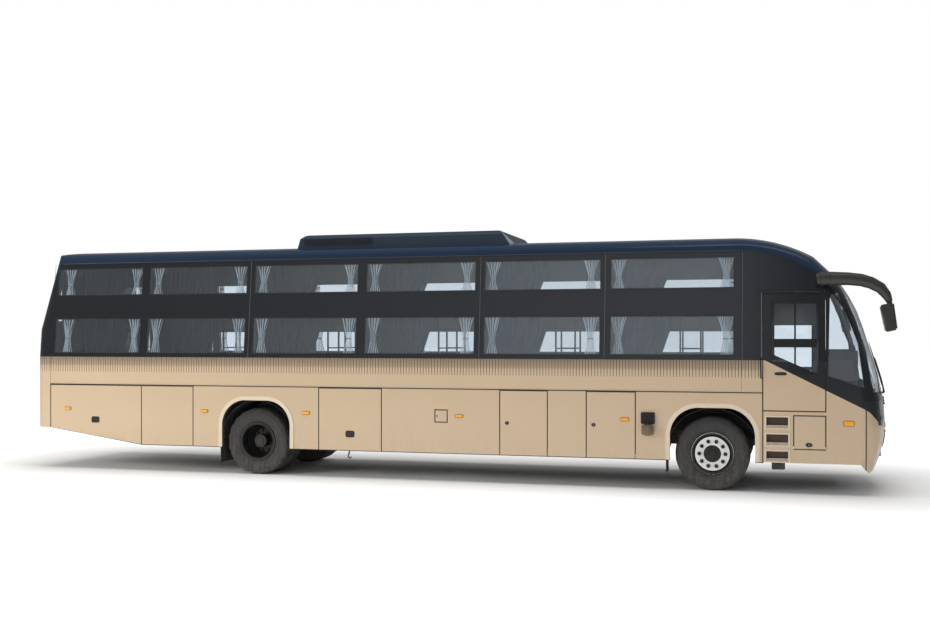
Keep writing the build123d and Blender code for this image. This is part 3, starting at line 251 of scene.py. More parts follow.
# Road film: thick near the ground, broken by noise, with runs down the panels.
road_film, given, out = effect("road_film", [("Vector", "vector", None), ("Colour", "colour", (1, 1, 1)),
                                             ("Dust", "colour", (0.30, 0.26, 0.21)),
                                             ("Top", "value", 1.2), ("Amount", "value", 0.4)],
                               [("Colour", "colour"), ("Mask", "value")])
t = road_film
height = split(t, given["Vector"])["Z"]
low = ramp(t, height, given["Top"], 0.1)
runs = noise(t, stretched(t, given["Vector"], (9.0, 9.0, 0.9)), 2.2, 5.0, 0.6)
spots = noise(t, given["Vector"], 23.0, 5.0, 0.7)
broken = ramp(t, calc(t, "ADD", runs, spots), 0.8, 1.35)
mask = calc(t, "MULTIPLY", calc(t, "MULTIPLY", low, broken), given["Amount"])
feed(t, out["Mask"], mask)
feed(t, out["Colour"], mix(t, mask, given["Colour"], given["Dust"]))

# Moulded grain: fine pits, with the shade and gloss a little uneven.
grain, given, out = effect("grain", [("Vector", "vector", None), ("Colour", "colour", (1, 1, 1)),
                                     ("Size", "value", 400.0), ("Depth", "value", 0.0003),
                                     ("Gloss low", "value", 0.4), ("Gloss high", "value", 0.6)],
                           [("Colour", "colour"), ("Roughness", "value"), ("Normal", "vector")])
t = grain
pits = add(t, "ShaderNodeTexVoronoi", {"Vector": given["Vector"], "Scale": given["Size"]}).outputs["Distance"]
cloud = noise(t, given["Vector"], 7.0, 4.0, 0.6)
feed(t, out["Normal"], bump(t, pits, given["Depth"]))
feed(t, out["Roughness"], ramp(t, cloud, 0.3, 0.7, given["Gloss low"], given["Gloss high"]))
tone = ramp(t, cloud, 0.25, 0.75, 0.86, 1.12)
feed(t, out["Colour"], mix(t, 1.0, given["Colour"], grey(t, tone), "MULTIPLY"))

# Rubbed and scratched metal or paint: streaks, and bare specks through the coat.
wear, given, out = effect("wear", [("Vector", "vector", None), ("Colour", "colour", (1, 1, 1)),
                                   ("Under", "colour", (0.3, 0.3, 0.3)), ("Amount", "value", 0.2),
                                   ("Fineness", "value", 30.0)],
                          [("Colour", "colour"), ("Mask", "value"), ("Normal", "vector")])
t = wear
blotch = noise(t, given["Vector"], given["Fineness"], 8.0, 0.75)
streak = noise(t, stretched(t, given["Vector"], (1.0, 1.0, 12.0)), given["Fineness"], 3.0, 0.6)
spread = calc(t, "MULTIPLY_ADD", streak, 0.35, blotch)
mask = ramp(t, spread, calc(t, "SUBTRACT", 0.95, given["Amount"]), 0.98)
feed(t, out["Mask"], mask)
feed(t, out["Colour"], mix(t, mask, given["Colour"], given["Under"]))
feed(t, out["Normal"], bump(t, calc(t, "SUBTRACT", blotch, mask), 0.0006))

# Woven cloth on the piece's UV map, in metres: threads over and under.
weave, given, out = effect("weave", [("Vector", "vector", None), ("Colour", "colour", (1, 1, 1)),
                                     ("Second", "colour", (0.8, 0.8, 0.8)), ("Thread", "value", 0.002),
                                     ("Depth", "value", 0.0006)],
                           [("Colour", "colour"), ("Holes", "value"), ("Normal", "vector")])
t = weave
part = split(t, given["Vector"])
across = calc(t, "SINE", calc(t, "DIVIDE", calc(t, "MULTIPLY", part["X"], pi), given["Thread"]))
along = calc(t, "SINE", calc(t, "DIVIDE", calc(t, "MULTIPLY", part["Y"], pi), given["Thread"]))
over = calc(t, "MULTIPLY", across, along)
fuzz = noise(t, given["Vector"], 60.0, 5.0, 0.7)
feed(t, out["Colour"], mix(t, calc(t, "MULTIPLY_ADD", over, 0.5, fuzz), given["Colour"], given["Second"]))
feed(t, out["Holes"], ramp(t, calc(t, "MULTIPLY", calc(t, "ABSOLUTE", across),
                                   calc(t, "ABSOLUTE", along)), 0.05, 0.5))
feed(t, out["Normal"], bump(t, over, given["Depth"]))

# 1 on the faces that look into the coach, 0 on its outside.
SALOON_MIDDLE = (0.0, 0.0, 1.9)
lining_side, given, out = effect("lining_side", [("Vector", "vector", None), ("Normal", "vector", None)],
                                 [("Mask", "value")])
t = lining_side
from_middle = add(t, "ShaderNodeVectorMath", {0: given["Vector"], 1: SALOON_MIDDLE},
                  operation="SUBTRACT").outputs["Vector"]
facing = add(t, "ShaderNodeVectorMath", {0: from_middle, 1: given["Normal"]},
             operation="DOT_PRODUCT").outputs["Value"]
feed(t, out["Mask"], calc(t, "LESS_THAN", facing, 0.0))

# The painted scheme: 1 on the window band's black, 1 on the navy roof, and the printed pleats.
DOOR_SWOOP = (5.025, 1.865, 0.505)       # the band's edge over the door: x, z and its fall for each metre
NOSE_SWOOP = (6.450, 1.134, 1.200)       # and round the nose
ROOF_LOW_Z = 2.9
PLEAT_FRONT_X, LONG_PLEAT_Z, SHORT_PLEAT_Z = 5.010, 1.605, 1.700
livery, given, out = effect("livery", [("Vector", "vector", None), ("Pitch", "value", 0.045)],
                            [("Band", "value"), ("Roof", "value"), ("Pleat", "value"), ("Tint", "value")])
t = livery
spot = split(t, given["Vector"])


def falling(x, z, fall):
    """The height of a sloping edge of the paint."""
    return calc(t, "SUBTRACT", z, calc(t, "MULTIPLY", calc(t, "SUBTRACT", spot["X"], x), fall))


swoop = calc(t, "MINIMUM", calc(t, "SMOOTH_MIN", falling(*DOOR_SWOOP), falling(*NOSE_SWOOP), 0.04), BELT_Z)
feed(t, out["Band"], calc(t, "GREATER_THAN", spot["Z"], swoop))
fall = calc(t, "MAXIMUM", calc(t, "SUBTRACT", spot["X"], ROOF_BREAK_X), 0.0)
rise = calc(t, "SUBTRACT", spot["Z"], ROOF_AXIS_Z)
reach = calc(t, "SQRT", calc(t, "ADD", calc(t, "MULTIPLY", fall, fall), calc(t, "MULTIPLY", rise, rise)))
feed(t, out["Roof"], calc(t, "MULTIPLY", calc(t, "GREATER_THAN", reach, GUTTER_Z - ROOF_AXIS_Z + 0.004),
                          calc(t, "GREATER_THAN", spot["Z"], ROOF_LOW_Z)))


def stripes(shift, width):
    """1 on upright lines, one in each pitch."""
    turn = calc(t, "FRACT", calc(t, "ADD", calc(t, "DIVIDE", spot["X"], given["Pitch"]), shift))
    off = calc(t, "ABSOLUTE", calc(t, "SUBTRACT", turn, 0.5))
    return calc(t, "LESS_THAN", off, width)


def pleats(shift, low_z, foot_width, head_width):
    """1 on the lines that widen from low_z up to the belt."""
    lines = stripes(shift, ramp(t, spot["Z"], low_z, BELT_Z, foot_width, head_width))
    within = calc(t, "MULTIPLY", calc(t, "GREATER_THAN", spot["Z"], low_z),
                  calc(t, "LESS_THAN", spot["Z"], BELT_Z))
    return calc(t, "MULTIPLY", lines, within)


flank = calc(t, "MULTIPLY", calc(t, "LESS_THAN", spot["X"], PLEAT_FRONT_X),
             calc(t, "GREATER_THAN", calc(t, "ABSOLUTE", spot["Y"]), HALF_WIDTH - 0.08))
printed = calc(t, "MAXIMUM", pleats(0.0, LONG_PLEAT_Z, 0.08, 0.22), pleats(0.5, SHORT_PLEAT_Z, 0.03, 0.13))
feed(t, out["Pleat"], calc(t, "MULTIPLY", printed, flank))
feed(t, out["Tint"], calc(t, "MULTIPLY", ramp(t, spot["Z"], SHORT_PLEAT_Z, SHORT_PLEAT_Z + 0.035), flank))


# 1 along the shut lines of the lids, doors and panels and along the rub moulding: painted shade, standing for
# the shadow in the gaps and under the moulding.
BOTH_SIDES = 0
OPEN_BELOW, OPEN_ABOVE, OPEN_AHEAD = -1.0, 9.0, 8.0      # past the coach, so that no line shows there
LID_TOP_Z = 1.384
SHUT_LINES = (                # rear x, front x, low z, high z, side
    (6.390, OPEN_AHEAD, OPEN_BELOW, OPEN_ABOVE, BOTH_SIDES),      # front bumper
    (-6.472, 5.030, OPEN_BELOW, RUB_Z, BOTH_SIDES),               # lower panels, up to the rub moulding
    (-6.472, -4.755, OPEN_BELOW, LID_TOP_Z, BOTH_SIDES),          # rear flap
    (-1.638, -0.604, OPEN_BELOW, LID_TOP_Z, BOTH_SIDES),          # middle flap
    (-4.755, -3.817, OPEN_BELOW, LID_TOP_Z, BOTH_SIDES),          # panel ahead of the rear flap
    (1.260, 1.979, OPEN_BELOW, LID_TOP_Z, RIGHT),                 # rearward luggage bay
    (2.554, 3.264, OPEN_BELOW, LID_TOP_Z, RIGHT),                 # forward luggage bay
    (5.030, 5.866, 1.147, 2.787, RIGHT),                          # driver's door
    (5.444, 5.866, 0.623, 1.086, RIGHT),                          # step locker
    (0.253, 0.447, 0.893, 1.077, RIGHT),                          # fuel hatch
    (5.030, 5.866, 0.470, 2.787, LEFT))                           # entry door
shut_lines, given, out = effect("shut_lines", [("Vector", "vector", None), ("Width", "value", 0.011)],
                                [("Mask", "value")])
t = shut_lines
spot = split(t, given["Vector"])


def past_edge(axis, low, high):
    """How far a point lies outside the span low..high on one axis; negative inside it."""
    from_middle = calc(t, "ABSOLUTE", calc(t, "SUBTRACT", spot[axis], (low + high) / 2))
    return calc(t, "SUBTRACT", from_middle, (high - low) / 2)


nearest = 1.0
for x0, x1, z0, z1, where in SHUT_LINES:
    edge = calc(t, "ABSOLUTE", calc(t, "MAXIMUM", past_edge("X", x0, x1), past_edge("Z", z0, z1)))
    if where:
        edge = calc(t, "ADD", edge, calc(t, "LESS_THAN", calc(t, "MULTIPLY", spot["Y"], float(where)), 0.0))
    nearest = calc(t, "MINIMUM", nearest, edge)
on_side = calc(t, "GREATER_THAN", calc(t, "ABSOLUTE", spot["Y"]), HALF_WIDTH - 0.12)
feed(t, out["Mask"], calc(t, "MULTIPLY", on_side,
                          ramp(t, nearest, calc(t, "MULTIPLY", given["Width"], 0.5), given["Width"], 1.0, 0.0)))


# ------------------------------------------------------------------ finishes
def finish_start(name, **constants):
    """A new material: its tree, its Principled shader with constant values, and the object coordinates."""
    made = bpy.data.materials.new(name)
    made.use_nodes = True
    tree = made.node_tree
    tree.nodes.clear()
    shader = tree.nodes.new("ShaderNodeBsdfPrincipled")
    output = tree.nodes.new("ShaderNodeOutputMaterial")
    tree.links.new(shader.outputs[0], output.inputs["Surface"])
    for key, value in constants.items():
        feed(tree, shader.inputs[key.replace("_", " ")], value)
    coordinates = tree.nodes.new("ShaderNodeTexCoord").outputs
    return made, tree, shader.inputs, coordinates


def plain_paint(name, colour, roughness=0.3, metallic=0.0, film=0.25, film_top=1.0, shade=0.06):
    """Sprayed paint with peel, a little unevenness and road film towards the ground."""
    made, t, shader, at = finish_start(name, Roughness=roughness, Metallic=metallic, Coat_Weight=0.3,
                                       Coat_Roughness=0.12)
    skin = use(t, paint_skin, vector=at["Object"], colour=colour, shade=shade)
    film = use(t, road_film, vector=at["Object"], colour=skin["Colour"], top=film_top, amount=film)
    feed(t, shader["Base Color"], film["Colour"])
    feed(t, shader["Roughness"], ramp(t, film["Mask"], 0.0, 0.5, roughness, 0.8))
    feed(t, shader["Normal"], skin["Normal"])
    return made


CHAMPAGNE = (0.640, 0.490, 0.335)
BAND_BLACK, BAND_SHEEN_GREY = (0.011, 0.013, 0.016), (0.030, 0.033, 0.038)
BAND_SHEEN_RISE_X, BAND_SHEEN_FADE_X = (-5.0, 4.0), (4.7, 5.6)       # painted reflection: greyer towards the cab, then black again
ROOF_NAVY = (0.010, 0.022, 0.048)
PLEAT_BROWN, PLEAT_TINT = (0.085, 0.062, 0.043), (0.36, 0.28, 0.205)
# painted shade for the shut lines
SEAM_SHADE = (0.014, 0.011, 0.008)
# Partly painted shade: the inner lining is dark grey also to stand for the dim light inside the coach.
LINING_GREY = (0.10, 0.105, 0.11)
PRIMER = (0.055, 0.055, 0.058)


def coach_paint():
    """The body's paint: champagne, pleats, black band and navy roof outside, primer and lining inside."""
    made, t, shader, at = finish_start("coach_paint", Coat_Roughness=0.05, Coat_IOR=1.45)
    zone = use(t, livery, vector=at["Object"])
    seam = use(t, shut_lines, vector=at["Object"])["Mask"]
    spot = split(t, at["Object"])
    colour = mix(t, calc(t, "MULTIPLY", zone["Tint"], 0.45), CHAMPAGNE, PLEAT_TINT)
    colour = mix(t, calc(t, "MULTIPLY", zone["Pleat"], 0.92), colour, PLEAT_BROWN)
    # painted shade along the shut lines and under the rub moulding
    colour = mix(t, calc(t, "MULTIPLY", seam, 0.96), colour, SEAM_SHADE)
    # painted reflection: the band greys towards the cab and turns black again at it
    band = mix(t, ramp(t, spot["X"], *BAND_SHEEN_RISE_X), BAND_BLACK, BAND_SHEEN_GREY)
    band = mix(t, ramp(t, spot["X"], *BAND_SHEEN_FADE_X), band, BAND_BLACK)
    colour = mix(t, zone["Band"], colour, band)
    colour = mix(t, zone["Roof"], colour, ROOF_NAVY)
    skin = use(t, paint_skin, vector=at["Object"], colour=colour, shade=0.05, peel=0.00016)
    film = use(t, road_film, vector=at["Object"], colour=skin["Colour"], dust=(0.40, 0.33, 0.24), top=0.95,
               amount=0.35)
    inner = use(t, lining_side, vector=at["Object"], normal=at["Normal"])["Mask"]
    lining = mix(t, calc(t, "GREATER_THAN", spot["Z"], RUB_Z - 0.03), PRIMER, LINING_GREY)
    feed(t, shader["Base Color"], mix(t, inner, film["Colour"], lining))
    dark = calc(t, "MAXIMUM", zone["Band"], zone["Roof"])
    gloss = ramp(t, dark, 0.0, 1.0, 0.34, 0.16)
    gloss = calc(t, "MAXIMUM", gloss, calc(t, "MULTIPLY", film["Mask"], 0.9))
    feed(t, shader["Roughness"], calc(t, "MAXIMUM", gloss, calc(t, "MULTIPLY", inner, 0.6)))
    painted = calc(t, "SUBTRACT", 1.0, calc(t, "MAXIMUM", dark, inner))
    feed(t, shader["Metallic"], calc(t, "MULTIPLY", painted, 0.25))
    feed(t, shader["Coat Weight"], calc(t, "MULTIPLY", calc(t, "SUBTRACT", 1.0, inner), 0.35))
    feed(t, shader["Normal"], skin["Normal"])
    return made


def moulded(name, colour, roughness=(0.4, 0.6), size=420.0, depth=0.0003, metallic=0.0):
    """Grained plastic, rubber or board."""
    made, t, shader, at = finish_start(name, Metallic=metallic)
    skin = use(t, grain, vector=at["Object"], colour=colour, size=size, depth=depth,
               gloss_low=roughness[0], gloss_high=roughness[1])
    film = use(t, road_film, vector=at["Object"], colour=skin["Colour"], amount=0.3)
    feed(t, shader["Base Color"], film["Colour"])
    feed(t, shader["Roughness"], skin["Roughness"])
    feed(t, shader["Normal"], skin["Normal"])
    return made


def worn_metal(name, colour, under, roughness=0.4, metallic=0.9, amount=0.2, fineness=30.0, film=0.3):
    """Metal or painted metal, rubbed through here and there."""
    made, t, shader, at = finish_start(name, Metallic=metallic)
    worn = use(t, wear, vector=at["Object"], colour=colour, under=under, amount=amount, fineness=fineness)
    film = use(t, road_film, vector=at["Object"], colour=worn["Colour"], amount=film)
    feed(t, shader["Base Color"], film["Colour"])
    rough = ramp(t, calc(t, "ADD", worn["Mask"], film["Mask"]), 0.0, 1.0, roughness, 0.85)
    feed(t, shader["Roughness"], rough)
    feed(t, shader["Normal"], worn["Normal"])
    return made


GLASS_DUST_AND_SHEEN = (0.56, 0.63, 0.69)
VEIL_GROWS_X = (-4.5, 2.5)    # over this length the veil of dust and painted reflection goes from its rear share to its front share
CAB_VEIL_FADES_X = (4.4, 5.0)      # the cab's glass keeps a tenth of it


def glazing(name, tint, smear=0.03, transmission=1.0, roughness=0.0, let_in=1.0, dust=(0.0, 0.0)):
    """Clear or coloured glass that lets the lamps' light through.

    dust is the share of the surface that the veil covers, at the rear and at the front: a lit grey film, partly
    dust and partly painted reflection that greys the front windows.
    """
    made, t, shader, at = finish_start(name, Transmission_Weight=transmission, IOR=1.45)
    haze = noise(t, at["Object"], 2.2, 6.0, 0.65)
    feed(t, shader["Roughness"], ramp(t, haze, 0.45, 0.8, roughness, roughness + smear))
    steep = ramp(t, add(t, "ShaderNodeLayerWeight", {"Blend": 0.5}).outputs["Facing"], 0.78, 0.97)
    deep = tuple(0.30 * part for part in tint)
    tone = use(t, paint_skin, vector=at["Object"], colour=mix(t, steep, tint, deep), shade=0.03)
    feed(t, shader["Base Color"], tone["Colour"])
    clear = add(t, "ShaderNodeBsdfTransparent", {"Color": tuple(let_in * part for part in tint)}).outputs[0]
    # the veil: dust and painted reflection
    film = add(t, "ShaderNodeBsdfDiffuse", {"Color": GLASS_DUST_AND_SHEEN}).outputs[0]
    along = split(t, at["Object"])["X"]
    veil = calc(t, "MULTIPLY", ramp(t, along, *VEIL_GROWS_X, *dust), ramp(t, along, *CAB_VEIL_FADES_X, 1.0, 0.1))
    pane = mix_shaders(t, veil, shader["Base Color"].node.outputs[0], film)
    path = add(t, "ShaderNodeLightPath").outputs
    passing = calc(t, "MAXIMUM", path["Is Shadow Ray"], path["Is Diffuse Ray"])
    output = next(node for node in t.nodes if node.type == "OUTPUT_MATERIAL")
    feed(t, output.inputs["Surface"], mix_shaders(t, passing, pane, clear))
    return made


def fabric(name, colour, second, thread=0.002, depth=0.0006, sheen=0.3, holes=0.0, bands=0.0):
    """Woven cloth on the piece's UV map, in metres of cloth.

    holes opens it like net, least where it is seen edge on and in solid bands of the pitch bands.
    """
    made, t, shader, at = finish_start(name, Roughness=0.9, Sheen_Weight=sheen, Sheen_Roughness=0.4)
    cloth = use(t, weave, vector=at["UV"], colour=colour, second=second, thread=thread, depth=depth)
    feed(t, shader["Base Color"], cloth["Colour"])
    feed(t, shader["Normal"], cloth["Normal"])
    if holes:
        steep = add(t, "ShaderNodeLayerWeight", {"Blend": 0.5}).outputs["Facing"]
        net = ramp(t, cloth["Holes"], 0.0, 1.0, 1.0 - holes, 1.0)
        across = split(t, at["UV"])["X"]
        waver = calc(t, "MULTIPLY", noise(t, at["UV"], 6.0, 2.0), 0.5 * bands)
        band = calc(t, "SINE", calc(t, "MULTIPLY", calc(t, "ADD", across, waver), 2 * pi / bands))
        solid = calc(t, "MAXIMUM", ramp(t, steep, 0.45, 0.95), ramp(t, band, -0.30, 0.45, 0.10, 1.0))
        feed(t, shader["Alpha"], calc(t, "MULTIPLY", net, solid))
    return made


PAINT = coach_paint()
LIP_PAINT = plain_paint("lip_paint", (0.72, 0.60, 0.455), roughness=0.35, film=0.2)
UNIT_PAINT = plain_paint("unit_paint", (0.018, 0.029, 0.048), roughness=0.35, film=0.0, shade=0.2)
CHASSIS_PAINT = worn_metal("chassis_paint", (0.022, 0.022, 0.024), (0.12, 0.07, 0.04), 0.5, 0.2, 0.22)
CAST_IRON = worn_metal("cast_iron", (0.07, 0.07, 0.07), (0.14, 0.08, 0.05), 0.6, 0.6, 0.3)
SPRING_STEEL = worn_metal("spring_steel", (0.09, 0.09, 0.09), (0.16, 0.09, 0.05), 0.5, 0.8, 0.3)
RIM_BLACK = worn_metal("rim_black", (0.014, 0.014, 0.016), (0.10, 0.10, 0.10), 0.32, 0.3, 0.12, film=0.15)
RING_WHITE = worn_metal("ring_white", (0.80, 0.80, 0.78), (0.35, 0.33, 0.30), 0.35, 0.0, 0.12, film=0.1)
BRIGHT_STEEL = worn_metal("bright_steel", (0.62, 0.62, 0.62), (0.35, 0.33, 0.30), 0.22, 1.0, 0.12)
JOINT_GREY = plain_paint("joint_grey", (0.10, 0.105, 0.11), roughness=0.4, film=0.0)
STEP_BROWN = plain_paint("step_brown", (0.16, 0.11, 0.07), roughness=0.5, film=0.4)
STEP_PLATE = worn_metal("step_plate", (0.50, 0.43, 0.34), (0.25, 0.20, 0.15), 0.4, 0.3, 0.3)
ALUMINIUM = worn_metal("aluminium", (0.55, 0.56, 0.57), (0.35, 0.35, 0.35), 0.35, 1.0, 0.25)
EXHAUST_STEEL = worn_metal("exhaust_steel", (0.22, 0.17, 0.14), (0.16, 0.09, 0.05), 0.5, 0.8, 0.35)
BIN_PRIMER = worn_metal("bin_primer", (0.14, 0.14, 0.14), (0.07, 0.07, 0.07), 0.5, 0.3, 0.2)
BLACK_PLASTIC = moulded("black_plastic", (0.012, 0.012, 0.013))
GLOSS_BLACK = plain_paint("gloss_black", (0.012, 0.012, 0.014), roughness=0.15, film=0.0)
RUBBER = moulded("rubber", (0.028, 0.028, 0.029), (0.6, 0.8), 260.0, 0.0005)
TYRE_RUBBER = moulded("tyre_rubber", (0.034, 0.034, 0.036), (0.55, 0.75), 180.0, 0.0006)
DASH_PLASTIC = moulded("dash_plastic", (0.09, 0.09, 0.095), (0.5, 0.7), 500.0, 0.0004)
# Partly painted shade: the floor, lining and boards inside are given very dark colours that also stand for the
# dim light in the coach.
FLOOR_VINYL = moulded("floor_vinyl", (0.06, 0.06, 0.06), (0.45, 0.6), 90.0, 0.0006)
LINING = moulded("lining", (0.09, 0.093, 0.098), (0.4, 0.55), 300.0, 0.0002)
BOARD = moulded("board", (0.045, 0.046, 0.050), (0.35, 0.5), 120.0, 0.0002)
BRONZE = worn_metal("bronze_plastic", (0.20, 0.15, 0.09), (0.30, 0.24, 0.16), 0.3, 0.5, 0.2)
GLASS = glazing("clear_glass", (0.82, 0.88, 0.93), let_in=0.88, dust=(0.016, 0.085))
LENS_SMOKED = glazing("lens_smoked", (0.34, 0.35, 0.36), 0.02)
LENS_AMBER = glazing("lens_amber", (1.0, 0.42, 0.03), 0.05, 0.10, 0.15)
LENS_RED = glazing("lens_red", (0.60, 0.02, 0.02), 0.05, 0.45, 0.15)
LACE = fabric("lace", (0.97, 0.97, 0.97), (0.90, 0.90, 0.90), 0.006, 0.0006, 0.0, 0.15, 0.047)
# Partly painted shade: the seat cloth is darkened also to stand for the dim light inside.
SEAT_CLOTH = fabric("seat_cloth", (0.05, 0.055, 0.07), (0.10, 0.10, 0.12), 0.003, 0.0008, 0.4)
MATTRESS_CLOTH = fabric("mattress_cloth", (0.10, 0.13, 0.20), (0.16, 0.19, 0.26), 0.004, 0.0006, 0.3)
PILLOW_CLOTH = fabric("pillow_cloth", (0.45, 0.46, 0.48), (0.36, 0.37, 0.40), 0.002, 0.0005, 0.3)
# Partly painted shade: the drapes are darkened also to stand for the dim light inside.
DRAPE_CLOTH = fabric("drape_cloth", (0.030, 0.036, 0.046), (0.045, 0.050, 0.060), 0.003, 0.0006, 0.0)
MIRROR_BRONZE = plain_paint("mirror_bronze", (0.036, 0.034, 0.030), roughness=0.30, film=0.1)
PLATE_WHITE = plain_paint("plate_white", (0.72, 0.72, 0.70), roughness=0.35, film=0.3)
# painted highlight for the roof unit's sloping front
UNIT_NOSE_HIGHLIGHT = plain_paint("unit_nose_highlight", (0.22, 0.30, 0.34), roughness=0.3, film=0.0)
SILVERED = worn_metal("mirror_silver", (0.85, 0.86, 0.87), (0.60, 0.60, 0.60), 0.04, 1.0, 0.02, film=0.0)

# finish of each construction node that stays in view
NODE_FINISHES = {
    PAINT: "side_wall_left side_wall_right roof front_cap front_mask rear_wall rear_bumper boot_lid "
           "driver_door entry_door flap_rear_left flap_rear_right flap_mid_left flap_mid_right "
           "bay_aft_right bay_fore_right fuel_right locker_right driver_steps",
    LIP_PAINT: "arch_trims", UNIT_PAINT: "ac_unit", CHASSIS_PAINT: "chassis_frame",
    CAST_IRON: "front_axle rear_axle knuckle_left knuckle_right tie_rod powertrain",
    SPRING_STEEL: "leaf_springs", EXHAUST_STEEL: "exhaust", ALUMINIUM: "tanks", BIN_PRIMER: "luggage_bins",
    RIM_BLACK: "front_rim_left front_rim_right rear_rims_left rear_rims_right",
    RUBBER: "wheel_housings", BLACK_PLASTIC: "wipers air_intake mirrors ladders", DASH_PLASTIC: "dashboard",
    FLOOR_VINYL: "floor cab_floor", BOARD: "berths", LINING: "cab_partition",
    GLASS: "fixed_glass driver_door_glass entry_door_glass", SEAT_CLOTH: "driver_seat",
    MATTRESS_CLOTH: "mattresses", LACE: "curtains", LENS_AMBER: "lamps",
    TYRE_RUBBER: "front_tyre_left front_tyre_right rear_tyres_left rear_tyres_right",
}
for finish, names in NODE_FINISHES.items():
    for name in names.split():
        slots = nodes[name].data.materials
        slots.clear()
        slots.append(finish)


# ------------------------------------------------------------------ floor, backdrop and sky
world = bpy.data.worlds.new("studio")
scene.world = world
world.use_nodes = True
t = world.node_tree
BACKDROP_WHITE = (1.0, 1.0, 1.0)
WALLS_MIRRORED, WALLS_LIGHT = (0.17, 0.175, 0.18), (0.40, 0.40, 0.40)    # dim beside the backdrop
path = add(t, "ShaderNodeLightPath").outputs
straight = calc(t, "MAXIMUM", path["Is Camera Ray"], path["Is Transmission Ray"])
walls = mix(t, path["Is Diffuse Ray"], WALLS_MIRRORED, WALLS_LIGHT)
feed(t, t.nodes["Background"].inputs["Color"], mix(t, straight, walls, BACKDROP_WHITE))
feed(t, t.nodes["Background"].inputs["Strength"], 1.0)

# The floor glows more the further it is from the coach, so that it runs into the white backdrop.
SHADOW_HALF_X, SHADOW_HALF_Y = 6.4, 1.3
GLOW_START, GLOW_FULL, GLOW = 0.2, 5.0, 0.75
FLOOR_SIZE = 400
floor_paint, t, shader, at = finish_start("studio_floor", Roughness=0.9, Base_Color=(0.78, 0.78, 0.78),
                                          Specular_IOR_Level=0.0)
spot = split(t, at["Object"])
past = [calc(t, "MAXIMUM", calc(t, "SUBTRACT", calc(t, "ABSOLUTE", spot[axis]), half), 0.0)
        for axis, half in (("X", SHADOW_HALF_X), ("Y", SHADOW_HALF_Y))]
away = calc(t, "SQRT", calc(t, "ADD", calc(t, "POWER", past[0], 2.0), calc(t, "POWER", past[1], 2.0)))
path = add(t, "ShaderNodeLightPath").outputs
seen = calc(t, "MAXIMUM", path["Is Camera Ray"], path["Is Transmission Ray"])
feed(t, shader["Emission Color"], BACKDROP_WHITE)
feed(t, shader["Emission Strength"], calc(t, "MULTIPLY", seen, ramp(t, away, GLOW_START, GLOW_FULL, 0.0, GLOW)))
bpy.ops.mesh.primitive_plane_add(size=FLOOR_SIZE)
studio_floor = bpy.context.object
studio_floor.name = "studio_floor"
studio_floor.data.materials.append(floor_paint)


# ------------------------------------------------------------------ mesh helpers
def block(bm, low, high, round_off=0.0):
    """A box from its low corner to its high one, its edges rounded off if asked."""
    made = bmesh.ops.create_cube(bm, size=1.0)["verts"]
    for vert in made:
        vert.co = Vector([(a + b) / 2 + c * (b - a) for c, a, b in zip(vert.co, low, high)])
    if round_off:
        edges = dict.fromkeys(edge for vert in made for edge in vert.link_edges)
        bmesh.ops.bevel(bm, geom=list(edges), offset=round_off, segments=2, affect="EDGES")


def loft(bm, rings, closed=False, capped=True):
    """Skins rings of points, each with as many points, and returns them as rows of vertices.

    The last ring joins the first one if closed; otherwise both ends get a cap, unless capped is off.
    """
    rows = [[bm.verts.new(point) for point in ring] for ring in rings]
    pairs = list(zip(rows, rows[1:])) + ([(rows[-1], rows[0])] if closed else [])
    for row, following in pairs:
        for index in range(len(row)):
            after = (index + 1) % len(row)
            bm.faces.new((row[index], row[after], following[after], following[index]))
    if capped and not closed:
        bm.faces.new(rows[0][::-1])
        bm.faces.new(rows[-1])
    return rows


def prism(bm, outline, y_near, y_far):
    """An outline of (x, z) points drawn out along Y."""
    loft(bm, [[(x, y, z) for x, z in outline] for y in (y_near, y_far)])


def side_plate(bm, outline, side, proud, sunk=0.002):
    """A thin plate on one side of the coach, from (x, z) points; it follows the side's lean."""
    loft(bm, [[(x, side * (side_y(z) + off), z) for x, z in outline] for off in (-sunk, proud)])


def side_frame(bm, side, rings):
    """A closed frame on one side of the coach, from rings of (x, z) points and how proud each one is."""
    loft(bm, [[(x, side * (side_y(z) + proud), z) for x, z in ring] for ring, proud in rings], closed=True)


def rectangle(x0, x1, z0, z1):
    """The corners of an upright rectangle, as (x, z) points."""
    return [(x0, z0), (x1, z0), (x1, z1), (x0, z1)]


def oval(x, z, half_x, half_z, count=20, power=2.0):
    """Points round an ellipse, or a rounder box for a higher power."""
    points = []
    for index in range(count):
        turn = 2 * pi * index / count
        c, s = cos(turn), sin(turn)
        points.append((x + half_x * (1 if c > 0 else -1) * abs(c) ** (2 / power),
                       z + half_z * (1 if s > 0 else -1) * abs(s) ** (2 / power)))
    return points


def tube(bm, points, radii, sides=12):
    """A round bar through points, with one radius or a radius at each point."""
    points = [Vector(point) for point in points]
    radii = radii if isinstance(radii, (list, tuple)) else [radii] * len(points)
    normal = (points[1] - points[0]).orthogonal().normalized()
    rings = []
    for index, (point, radius) in enumerate(zip(points, radii)):
        along = (points[min(index + 1, len(points) - 1)] - points[max(index - 1, 0)]).normalized()
        normal = (normal - along * normal.dot(along)).normalized()
        other = along.cross(normal)
        rings.append([point + radius * (cos(2 * pi * k / sides) * normal + sin(2 * pi * k / sides) * other)
                      for k in range(sides)])
    loft(bm, rings)


